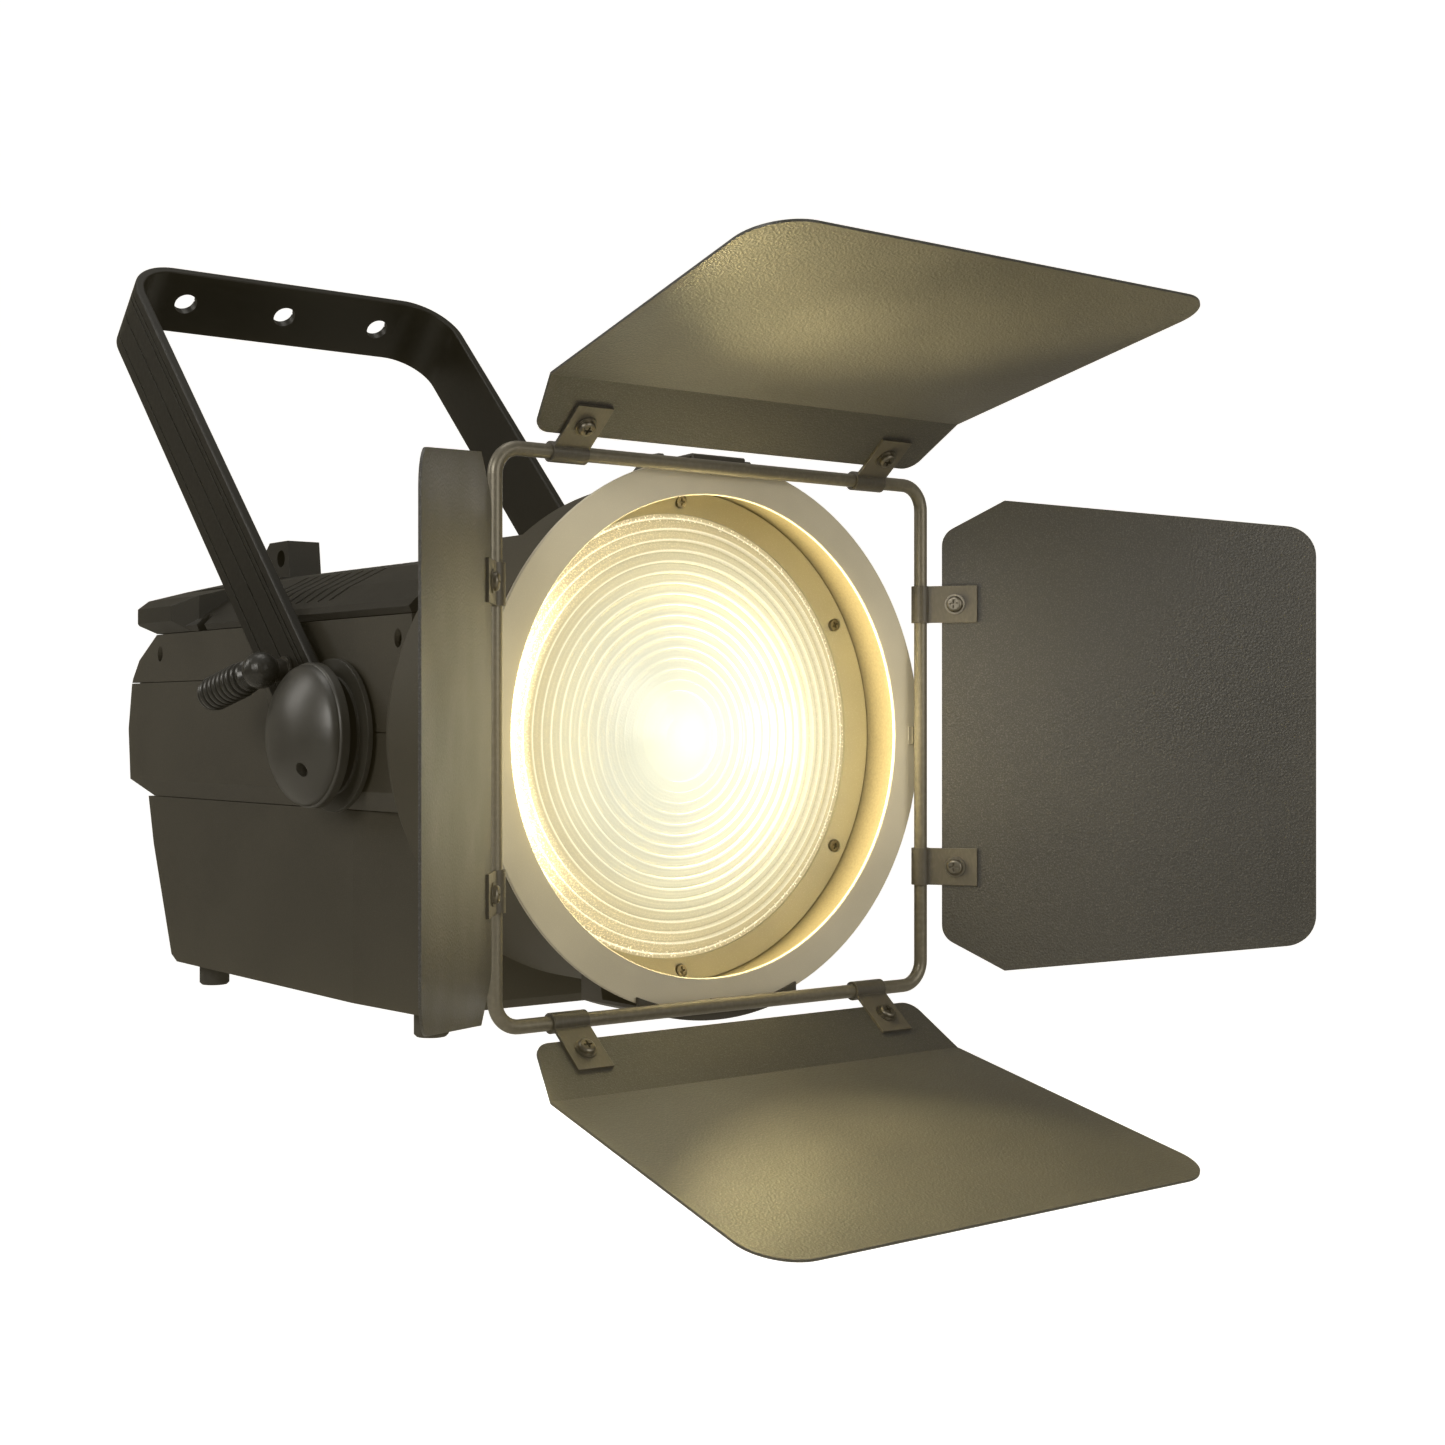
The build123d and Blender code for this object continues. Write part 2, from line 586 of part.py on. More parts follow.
# ------------------------------------------------------------------ vented top cover with the safety lug
with BuildPart() as top_cover:
    # front part: chamfered roof, extruded along the beam
    with BuildSketch(front(352)):
        with BuildLine():
            Polyline((-90, 55), (-91.5, 58), (-88, 61.5), (-72, 72), (-52, 82), (-30, 86.8), (0, 88), (30, 86.8), (52, 82), (72, 72), (88, 61.5), (91.5, 58), (90, 55), close=True)
        make_face()
    extrude(amount=352 - 111)
    # rear hood: wider, with a falling top
    with BuildSketch(front(431)):
        with BuildLine():
            Polyline((-90, 55), (-95.5, 61), (-95.5, 69), (-88, 74), (-40, 86), (0, 88), (40, 86), (88, 74), (95.5, 69), (95.5, 61), (90, 55), close=True)
        make_face()
    extrude(amount=431 - 345)
    # hood's sloping front corners
    for s in (-1, 1):
        with BuildSketch(level(50)):
            with BuildLine():
                Polyline((s * 84, 330), (s * 110, 330), (s * 110, 368), (s * 97, 368), (s * 88, 345), (s * 84, 345), close=True)
            make_face()
        extrude(amount=60, mode=Mode.SUBTRACT)
        with BuildSketch(front(360)):
            with BuildLine():
                Polyline((s * 90, 55), (s * 91.5, 58), (s * 88, 61.5), (s * 72, 72), (s * 60, 72), (s * 60, 55), close=True)
            make_face()
        extrude(amount=20)
    # rear edge: overhangs and slopes forward underneath
    with BuildSketch(side(-100)):
        Polygon(*[(396, 54.9), (430, 66), (430, 74), (424, 80), (415, 86), (408, 90), (445, 95), (445, 40), (390, 40)], align=None)
    extrude(amount=200, mode=Mode.SUBTRACT)
    for s in (-1, 1):
        with BuildSketch(level(50)):
            Polygon(*[(s * 14, 432), (s * 60, 423.5), (s * 97, 410), (s * 97, 440), (s * 14, 440)], align=None)
        extrude(amount=50, mode=Mode.SUBTRACT)
    # hollow inside
    with BuildSketch(front(392)):
        with BuildLine():
            Polyline((-86, 50), (-86, 58.5), (-70, 69), (-50, 79), (-29, 83.6), (0, 84.8), (29, 83.6), (50, 79), (70, 69), (86, 58.5), (86, 50), close=True)
        make_face()
    extrude(amount=392 - 113, mode=Mode.SUBTRACT)
    # transverse cooling slots
    with BuildSketch(level(60)):
        with Locations([(0, 204 + 12 * i) for i in range(8)]):
            SlotOverall(166, 3.2)
    extrude(amount=40, mode=Mode.SUBTRACT)
    # long recess on each rear shoulder
    for s in (-1, 1):
        with BuildSketch(Plane(origin=(s * 62, AY + 385, AZ + 82.2), x_dir=(0, 1, 0), z_dir=(s * 0.243, 0, 0.970))):
            SlotOverall(42, 9)
        extrude(amount=4.5, both=True, mode=Mode.SUBTRACT)
    # safety lug
    with BuildSketch(side(-LUG_W / 2)):
        Polygon(*[(395, 80), (399, 111.5), (423, 111.5), (430, 105), (430, 72), (405, 72)], align=None)
    extrude(amount=LUG_W)
    with BuildSketch(side(-20)):
        with Locations((LUG_Y, LUG_Z)):
            Circle(5)
    extrude(amount=40, mode=Mode.SUBTRACT)
save("top_cover", top_cover)

# screws in the slanted pockets of the upper casing
with BuildPart() as casing_screws:
    for s in (-1, 1):
        for y in (123.5, 392.5):
            pocket = Plane(origin=(s * BODY_HALF, AY + y, AZ + 44), x_dir=(0, 1, 0), z_dir=(s * 0.80, 0, 0.60))
            with BuildSketch(pocket.offset(-3.6)):
                Circle(3.0)
                Rectangle(3.6, 0.8, mode=Mode.SUBTRACT)
                Rectangle(0.8, 3.6, mode=Mode.SUBTRACT)
            extrude(amount=-1.2)
            with BuildSketch(pocket.offset(-4.8)):
                Circle(3.0)
            extrude(amount=-1.4)
            with BuildSketch(pocket.offset(-6.2)):
                Circle(1.5)
            extrude(amount=-6)
save("casing_screws", casing_screws)

# ================================================================== head: rear
P3 = Plane(origin=(0, AY + 432.3, AZ + 14.55), x_dir=(-1, 0, 0), z_dir=(0, 0.979, 0.203))
P4 = Plane(origin=(0, AY + 433.6, AZ - 10.75), x_dir=(-1, 0, 0), z_dir=(0, 0.9959, -0.0902))
FAN_X, FAN_Z = -46.0, -1.5
BUTTON_X = (14.0, 32.0, 50.0, 68.0)

# moulded rear panel, bent across its middle
with BuildPart() as rear_panel:
    with BuildSketch(side(-87.1)):
        Polygon(*[(396, 51.6), (420, 38.3), (429.8, 26.6), (434.8, 2.5), (432.4, -24.4), (429.9, -24.4), (432.3, 2.3), (427.5, 25.5), (418.4, 36.4), (394.8, 49.4)], align=None)
    extrude(amount=174.2)
    # window for the display
    with BuildSketch(P3.offset(-6)):
        with Locations((-41, 0.4)):
            RectangleRounded(62, 18.4, 1.5)
    extrude(amount=12, mode=Mode.SUBTRACT)
    # holes for the four keys
    with BuildSketch(P4.offset(-6)):
        with Locations([(-x, -1) for x in BUTTON_X]):
            Circle(4.6)
    extrude(amount=12, mode=Mode.SUBTRACT)
    # exhaust slots behind the fan
    with BuildSketch(front(445)):
        with Locations([(FAN_X, FAN_Z + 6 * i) for i in range(-3, 4)]):
            SlotOverall(50, 3)
    extrude(amount=20, mode=Mode.SUBTRACT)
save("rear_panel", rear_panel)

with BuildPart() as display_window:
    with BuildSketch(P3.offset(-2.4)):
        with Locations((-41, 0.4)):
            RectangleRounded(61.7, 18.1, 1.4)
    extrude(amount=2.0)
    with BuildSketch(P3.offset(-3.4)):
        with Locations((-41, 0.4)):
            Rectangle(57, 15.5)
    extrude(amount=1.0)
save("display_window", display_window)

for label, x in zip(("menu", "up", "down", "enter"), BUTTON_X):
    with BuildPart() as button:
        with BuildSketch(P4.offset(-2.9)):
            with Locations((-x, -1)):
                Circle(4.5)
        extrude(amount=4.9)
        fillet(button.faces().sort_by(Axis.Y)[-1].edges(), 0.9)
        with BuildSketch(P4.offset(-4.0)):
            with Locations((-x, -1)):
                Circle(5.8)
        extrude(amount=1.1)
    save(f"{label}_button", button)

with BuildPart() as control_board:
    with BuildSketch(front(420.5)):
        with Locations((41, -1)):
            Rectangle(76, 44)
    extrude(amount=1.6)
    for x in BUTTON_X:
        with BuildSketch(front(425.0)):
            with Locations((x, -12)):
                Rectangle(6, 6)
        extrude(amount=4.5)
    with BuildSketch(front(424.5)):
        with Locations((41, 11)):
            Rectangle(56, 15)
    extrude(amount=4)
    with BuildSketch(front(418.9)):
        with Locations((25, -6)):
            Rectangle(12, 12)
        with Locations((56, 4)):
            Rectangle(18, 8)
    extrude(amount=2.5)
save("control_board", control_board)

# cooling fan behind the rear panel
with BuildPart() as fan_frame:
    with BuildSketch(front(421)):
        with Locations((FAN_X, FAN_Z)):
            RectangleRounded(50, 50, 3)
            Circle(23.2, mode=Mode.SUBTRACT)
    extrude(amount=15)
    with BuildSketch(front(421)):
        with Locations((FAN_X, FAN_Z)):
            Circle(8.5)
            for a in (30, 150, 270):
                Rectangle(3, 24, rotation=a, align=(Align.CENTER, Align.MIN))
    extrude(amount=1.8)
    with BuildSketch(front(419.2)):
        with Locations((FAN_X, FAN_Z)):
            Circle(2)
    extrude(amount=8)
save("fan_frame", fan_frame)

with BuildPart() as fan_rotor:
    with BuildSketch(front(418.6)):
        with Locations((FAN_X, FAN_Z)):
            Circle(9)
            Circle(2.06, mode=Mode.SUBTRACT)
    extrude(amount=10)
    for i in range(7):
        a = radians(i * 360 / 7)
        blade = Plane(origin=(FAN_X + 8 * cos(a), AY + 413.4, AZ + FAN_Z + 8 * sin(a)), x_dir=(-sin(a), 0.75, cos(a)), z_dir=(cos(a), 0, sin(a)))
        with BuildSketch(blade):
            Rectangle(12.5, 1.2)
        extrude(amount=13.6)
    with BuildSketch(front(408.6)):
        with Locations((FAN_X, FAN_Z)):
            Circle(9)
    extrude(amount=1)
save("fan_rotor", fan_rotor)

# ------------------------------------------------------------------ sockets on the sloping rear wall of the base
LOW = Plane(origin=(0, AY + 401.2, AZ - 92.0), x_dir=(-1, 0, 0), z_dir=(0, 0.9236, -0.3834))


def socket(x, kind):
    """Round panel socket with a square flange; kind sets its contacts."""
    with BuildPart() as b:
        with BuildSketch(LOW.offset(0.1)):
            with Locations((-x, 6)):
                RectangleRounded(26, 31, 2.5)
        extrude(amount=2.4)
        with BuildSketch(LOW.offset(-22)):
            with Locations((-x, 6)):
                Circle(12)
        extrude(amount=22.1)
        with BuildSketch(LOW.offset(2.5)):
            with Locations((-x, 6)):
                Circle(12.1)
                Circle(10.2, mode=Mode.SUBTRACT)
        extrude(amount=1.6)
        with BuildSketch(LOW.offset(2.5)):
            with Locations((-x, 6)):
                if kind == "female":
                    with PolarLocations(5.2, 3, start_angle=90):
                        Circle(1.5)
                elif kind == "male":
                    Circle(10.2)
                    with PolarLocations(5.2, 3, start_angle=90):
                        Circle(1.2, mode=Mode.SUBTRACT)
                else:
                    Circle(9.8)
                    Circle(6.2, mode=Mode.SUBTRACT)
                    Rectangle(14, 3, mode=Mode.SUBTRACT)
        extrude(amount=-14, mode=Mode.SUBTRACT)
        with BuildSketch(LOW.offset(2.5)):
            with Locations((-x, 6)):
                with Locations((-9.8, 12.2), (9.8, -12.2)):
                    Circle(1.6)
        extrude(amount=-2.4, mode=Mode.SUBTRACT)
    return b


power_inlet = socket(50, "inlet")
signal_input = socket(-12, "male")
signal_output = socket(-50, "female")
save("power_inlet", power_inlet)
save("signal_input", signal_input)
save("signal_output", signal_output)

with BuildPart() as fuse_holder:
    with BuildSketch(LOW.offset(-26)):
        with Locations((-20, 6)):
            Circle(6)
    extrude(amount=26.1)
    with BuildSketch(LOW.offset(0.1)):
        with Locations((-20, 6)):
            Circle(8.5)
    extrude(amount=2)
    with BuildSketch(LOW.offset(2.1)):
        with Locations((-20, 6)):
            Circle(6.6)
            Rectangle(8, 1.4, mode=Mode.SUBTRACT)
    extrude(amount=3)
save("fuse_holder", fuse_holder)

# ================================================================== head: light engine inside
LED_Y = 196.0            # emitting face at rest
with BuildPart() as guide_rods:
    with BuildSketch(front(333)):
        with Locations((-ROD_X, ROD_Z), (ROD_X, ROD_Z)):
            Circle(ROD_R)
    extrude(amount=214)
save("guide_rods", guide_rods)

with BuildPart() as lead_screw:
    with BuildSketch(front(331.8)):
        with Locations((SCREW_X, SCREW_Z)):
            Circle(3.0)
    extrude(amount=212.3)
    with BuildSketch(front(328)):
        with Locations((SCREW_X, SCREW_Z)):
            Circle(4.0)
    extrude(amount=204)
    with BuildSketch(front(345)):
        with Locations((SCREW_X, SCREW_Z)):
            Circle(2.4)
    extrude(amount=13.2)
    # turned grooves for the thread's pitch
    with BuildSketch(Plane(origin=(SCREW_X, AY, AZ + SCREW_Z), x_dir=(0, 1, 0), z_dir=(1, 0, 0))):
        with Locations([(130 + 8 * i, 4.0) for i in range(24)]):
            Rectangle(3, 0.9)
    revolve(axis=Axis((SCREW_X, AY, AZ + SCREW_Z), (0, 1, 0)), mode=Mode.SUBTRACT)
save("lead_screw", lead_screw)

with BuildPart() as zoom_motor:
    with BuildSketch(front(362)):
        with Locations((SCREW_X, SCREW_Z)):
            RectangleRounded(27, 27, 3)
    extrude(amount=29.6)
    with BuildSketch(front(346)):
        with Locations((SCREW_X, SCREW_Z)):
            Circle(2.5)
    extrude(amount=16, mode=Mode.SUBTRACT)
save("zoom_motor", zoom_motor)

with BuildPart() as zoom_carriage:
    with BuildSketch(front(LED_Y + 9)):
        with BuildLine():
            Polyline((-75, 36), (-75, 16), (-50, -26), (50, -26), (56, -18), (75, -18), (75, 36), (46, 44), (-46, 44), close=True)
        make_face()
    extrude(amount=5)
    with BuildSketch(front(LED_Y + 19)):
        with Locations((-ROD_X, ROD_Z), (ROD_X, ROD_Z)):
            Circle(8)
        with Locations((SCREW_X, SCREW_Z)):
            Circle(8)
    extrude(amount=20)
    with BuildSketch(front(LED_Y + 25)):
        with Locations((-ROD_X, ROD_Z), (ROD_X, ROD_Z)):
            Circle(ROD_R + 0.06)
        with Locations((SCREW_X, SCREW_Z)):
            Circle(4.08)
    extrude(amount=40, mode=Mode.SUBTRACT)
save("zoom_carriage", zoom_carriage)

with BuildPart() as led_module:
    with BuildSketch(front(LED_Y + 4)):
        RectangleRounded(50, 50, 3)
    extrude(amount=2)
    with BuildSketch(front(LED_Y + 2)):
        RectangleRounded(38, 38, 2)
    extrude(amount=1.2)
    with BuildSketch(front(LED_Y + 0.8)):
        Circle(16)
    extrude(amount=0.8)
save("led_module", led_module)

with BuildPart() as heat_sink:
    with BuildSketch(front(LED_Y + 15)):
        with Locations((0, 9)):
            Rectangle(92, 68)
    extrude(amount=6)
    with BuildSketch(front(LED_Y + 66)):
        with Locations([(-44.8 + 6.4 * i, 9) for i in range(15)]):
            Rectangle(2, 68)
    extrude(amount=51)
save("heat_sink", heat_sink)

with BuildPart() as power_supply:
    with BuildSketch(level(-122)):
        with Locations((0, 245)):
            RectangleRounded(120, 180, 2)
    extrude(amount=52)
    with BuildSketch(level(-122)):
        with Locations((0, 245)):
            Rectangle(117.6, 177.6)
    extrude(amount=50.8, mode=Mode.SUBTRACT)
    with BuildSketch(level(-72)):
        with Locations([(-42 + 12 * i, 180 + 10 * j) for i in range(8) for j in range(14)]):
            Circle(2.4)
    extrude(amount=5, mode=Mode.SUBTRACT)
save("power_supply", power_supply)

# ================================================================== barn doors: ring and wire frame
with BuildPart() as barn_door_ring:
    with BuildSketch(front(7.0)):
        Circle(RING_OR)
        Circle(RING_IR, mode=Mode.SUBTRACT)
    extrude(amount=1.5)
    chamfer(barn_door_ring.edges().filter_by(GeomType.CIRCLE).group_by(Axis.Y)[0], 0.35)
    # four weld pads that cradle the wire
    with BuildSketch(front(5.6)):
        for a in (0, 90, 180, 270):
            with PolarLocations(114.5, 1, start_angle=a):
                Rectangle(4, 8)
    extrude(amount=3.4)
    for a in (0, 180):
        with BuildSketch(side(-20)):
            with Locations((0, WIRE_HALF if a else -WIRE_HALF)):
                Circle(WIRE_R)
        extrude(amount=40, mode=Mode.SUBTRACT)
        with BuildSketch(level(-20)):
            with Locations((WIRE_HALF if a else -WIRE_HALF, 0)):
                Circle(WIRE_R)
        extrude(amount=40, mode=Mode.SUBTRACT)
save("barn_door_ring", barn_door_ring)

with BuildPart() as barn_door_frame:
    with BuildLine(front(0)) as wire_path:
        FilletPolyline((WIRE_HALF, -WIRE_HALF), (WIRE_HALF, WIRE_HALF), (-WIRE_HALF, WIRE_HALF), (-WIRE_HALF, -WIRE_HALF), radius=WIRE_BEND, close=True)
    start = wire_path.line @ 0
    tang = wire_path.line % 0
    with BuildSketch(Plane(origin=start, z_dir=tang)):
        Circle(WIRE_R)
    sweep()
save("barn_door_frame", barn_door_frame)


# ------------------------------------------------------------------ leaves
def leaf_plane(kind, theta):
    """Leaf's own plane: origin at the middle of its wire, local x along the wire, local y out along
    the leaf, normal towards the beam.  theta is measured from straight ahead."""
    r = {"top": Vector(0, 0, 1), "bottom": Vector(0, 0, -1), "left": Vector(-1, 0, 0), "right": Vector(1, 0, 0)}[kind]
    t = radians(theta)
    out = Vector(0, -1, 0) * cos(t) + r * sin(t)
    n = Vector(0, -1, 0) * sin(t) - r * cos(t)
    return Plane(origin=Vector(0, AY, AZ) + r * WIRE_HALF, x_dir=out.cross(n), z_dir=n)


LEAVES = {"top": (BENT_REST, (-81, 81)), "bottom": (BENT_REST, (-81, 81)), "left": (SIDE_REST_L, (-60.5, 60.5)), "right": (SIDE_REST_R, (-60.5, 60.5))}
LEAF_T = 1.0
CLIP_W = 17.0
CLIP_S = 16.3            # wire centre to the screw
CLIP_END = 26.5
CLIP_T = 1.2

for kind, (theta, xs) in LEAVES.items():
    P = leaf_plane(kind, theta)
    # leaf blade
    with BuildPart() as leaf:
        if kind in ("top", "bottom"):
            with BuildSketch(P):
                Polygon(*[(-101.5, 10), (101.5, 10), (108.7, CREASE), (-108.7, CREASE)], align=None)
            extrude(amount=-LEAF_T)
            corners = leaf.edges().filter_by(lambda e: abs(abs(e.tangent_at(0.5).dot(P.z_dir)) - 1) < 1e-3)
            near = [e for e in corners if P.to_local_coords(e.center()).Y < 12]
            fillet(near, 8)
            P2 = leaf_plane(kind, theta - BENT)
            P2 = Plane(origin=P.from_local_coords((0, CREASE, 0)), x_dir=P2.x_dir, z_dir=P2.z_dir)
            with BuildSketch(P2):
                Polygon(*[(-108.7, 0), (108.7, 0), (116.1, PANEL), (-116.1, PANEL)], align=None)
            extrude(amount=-LEAF_T)
            corners = leaf.edges().filter_by(lambda e: abs(abs(e.tangent_at(0.5).dot(P2.z_dir)) - 1) < 1e-3)
            far = [e for e in corners if P2.to_local_coords(e.center()).Y > PANEL - 2]
            fillet(far, 20)
            # metal of the bend itself
            o = P.from_local_coords((-108.7, CREASE, 0))
            sec = Plane(origin=o, x_dir=P.y_dir, z_dir=P.x_dir)
            c = sec.to_local_coords(o - P2.z_dir * LEAF_T)
            with BuildSketch(sec):
                Polygon((0, 0), (0, -LEAF_T), (c.X, c.Y), align=None)
            extrude(amount=217.4)
        else:
            with BuildSketch(P):
                Polygon(*[(-93, 10), (93, 10), (107.7, 39.1), (91.1, 176.1), (-91.1, 176.1), (-107.7, 39.1)], align=None)
            extrude(amount=-LEAF_T)
            corners = leaf.edges().filter_by(lambda e: abs(abs(e.tangent_at(0.5).dot(P.z_dir)) - 1) < 1e-3)
            fillet([e for e in corners if P.to_local_coords(e.center()).Y < 12], 9)
            corners = leaf.edges().filter_by(lambda e: abs(abs(e.tangent_at(0.5).dot(P.z_dir)) - 1) < 1e-3)
            fillet([e for e in corners if P.to_local_coords(e.center()).Y > 174], 14)
        with BuildSketch(P.offset(2)):
            with Locations([(x, CLIP_S) for x in xs]):
                Circle(2.05)
        extrude(amount=-6, mode=Mode.SUBTRACT)
    save(f"{kind}_leaf", leaf)
    # hinge clips rolled round the wire, with a flat tab on the leaf's inner face
    with BuildPart() as clips:
        for x in xs:
            sec = Plane(origin=P.from_local_coords((x - CLIP_W / 2, 0, 0)), x_dir=P.y_dir, z_dir=P.x_dir)
            with BuildSketch(sec):
                Circle(CLIP_R + CLIP_T)
                with Locations((0, 0)):
                    Rectangle(CLIP_END, CLIP_T, align=(Align.MIN, Align.MIN))
                Circle(CLIP_R, mode=Mode.SUBTRACT)
            extrude(amount=CLIP_W)
        with BuildSketch(P.offset(3)):
            with Locations([(x, CLIP_S) for x in xs]):
                Circle(2.05)
        extrude(amount=-6, mode=Mode.SUBTRACT)
    save(f"{kind}_leaf_clips", clips)
    # pan-head screw and nut through each clip
    with BuildPart() as screws:
        with BuildSketch(P.offset(CLIP_T)):
            with Locations([(x, CLIP_S) for x in xs]):
                Circle(4.7)
        extrude(amount=0.6)
        with BuildSketch(P.offset(CLIP_T + 0.6)):
            with Locations([(x, CLIP_S) for x in xs]):
                Circle(3.7)
        extrude(amount=2.2)
        top = screws.edges().filter_by(GeomType.CIRCLE).filter_by(lambda e: abs(P.to_local_coords(e.center()).Z - CLIP_T - 2.8) < 0.01)
        fillet(top, 1.2)
        with BuildSketch(P.offset(CLIP_T + 2.9)):
            with Locations([(x, CLIP_S) for x in xs]):
                Rectangle(3.9, 0.9)
                Rectangle(0.9, 3.9)
        extrude(amount=-1.3, mode=Mode.SUBTRACT)
        with BuildSketch(P.offset(CLIP_T)):
            with Locations([(x, CLIP_S) for x in xs]):
                Circle(1.95)
        extrude(amount=-(CLIP_T + LEAF_T + 3.4))
        with BuildSketch(P.offset(-LEAF_T)):
            with Locations([(x, CLIP_S) for x in xs]):
                RegularPolygon(3.9, 6)
        extrude(amount=-2.8)
    save(f"{kind}_leaf_screws", screws)
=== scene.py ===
import bpy, bmesh, math, random
from mathutils import Vector, Matrix


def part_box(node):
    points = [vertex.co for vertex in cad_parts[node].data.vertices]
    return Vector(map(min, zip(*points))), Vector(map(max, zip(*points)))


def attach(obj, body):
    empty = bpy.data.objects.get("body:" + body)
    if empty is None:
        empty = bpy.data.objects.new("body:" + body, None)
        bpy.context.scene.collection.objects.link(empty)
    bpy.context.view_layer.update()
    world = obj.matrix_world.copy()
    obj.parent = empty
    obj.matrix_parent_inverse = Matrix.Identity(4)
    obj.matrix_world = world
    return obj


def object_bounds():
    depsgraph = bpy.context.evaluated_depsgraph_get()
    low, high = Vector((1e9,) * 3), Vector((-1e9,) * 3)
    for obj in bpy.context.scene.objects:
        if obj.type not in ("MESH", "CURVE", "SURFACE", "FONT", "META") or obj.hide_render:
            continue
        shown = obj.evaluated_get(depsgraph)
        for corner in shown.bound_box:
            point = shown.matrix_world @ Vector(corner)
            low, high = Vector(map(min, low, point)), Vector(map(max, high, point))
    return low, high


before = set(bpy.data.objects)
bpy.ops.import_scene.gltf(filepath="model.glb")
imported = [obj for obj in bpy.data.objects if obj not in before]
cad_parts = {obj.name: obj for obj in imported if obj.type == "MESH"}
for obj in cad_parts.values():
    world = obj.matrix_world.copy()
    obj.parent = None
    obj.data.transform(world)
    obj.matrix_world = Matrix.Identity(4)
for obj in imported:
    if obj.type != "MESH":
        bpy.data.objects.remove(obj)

cad_lo, cad_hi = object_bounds()
scene = bpy.context.scene
random.seed(7)

# ---------------------------------------------------------------- places, from the frame
wlo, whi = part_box("barn_door_frame")
WIRE = (Vector(wlo) + Vector(whi)) / 2            # centre of the wire frame, on the beam axis
llo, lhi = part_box("fresnel_lens")
LENS = Vector((WIRE.x, llo[1], WIRE.z))           # front of the lens


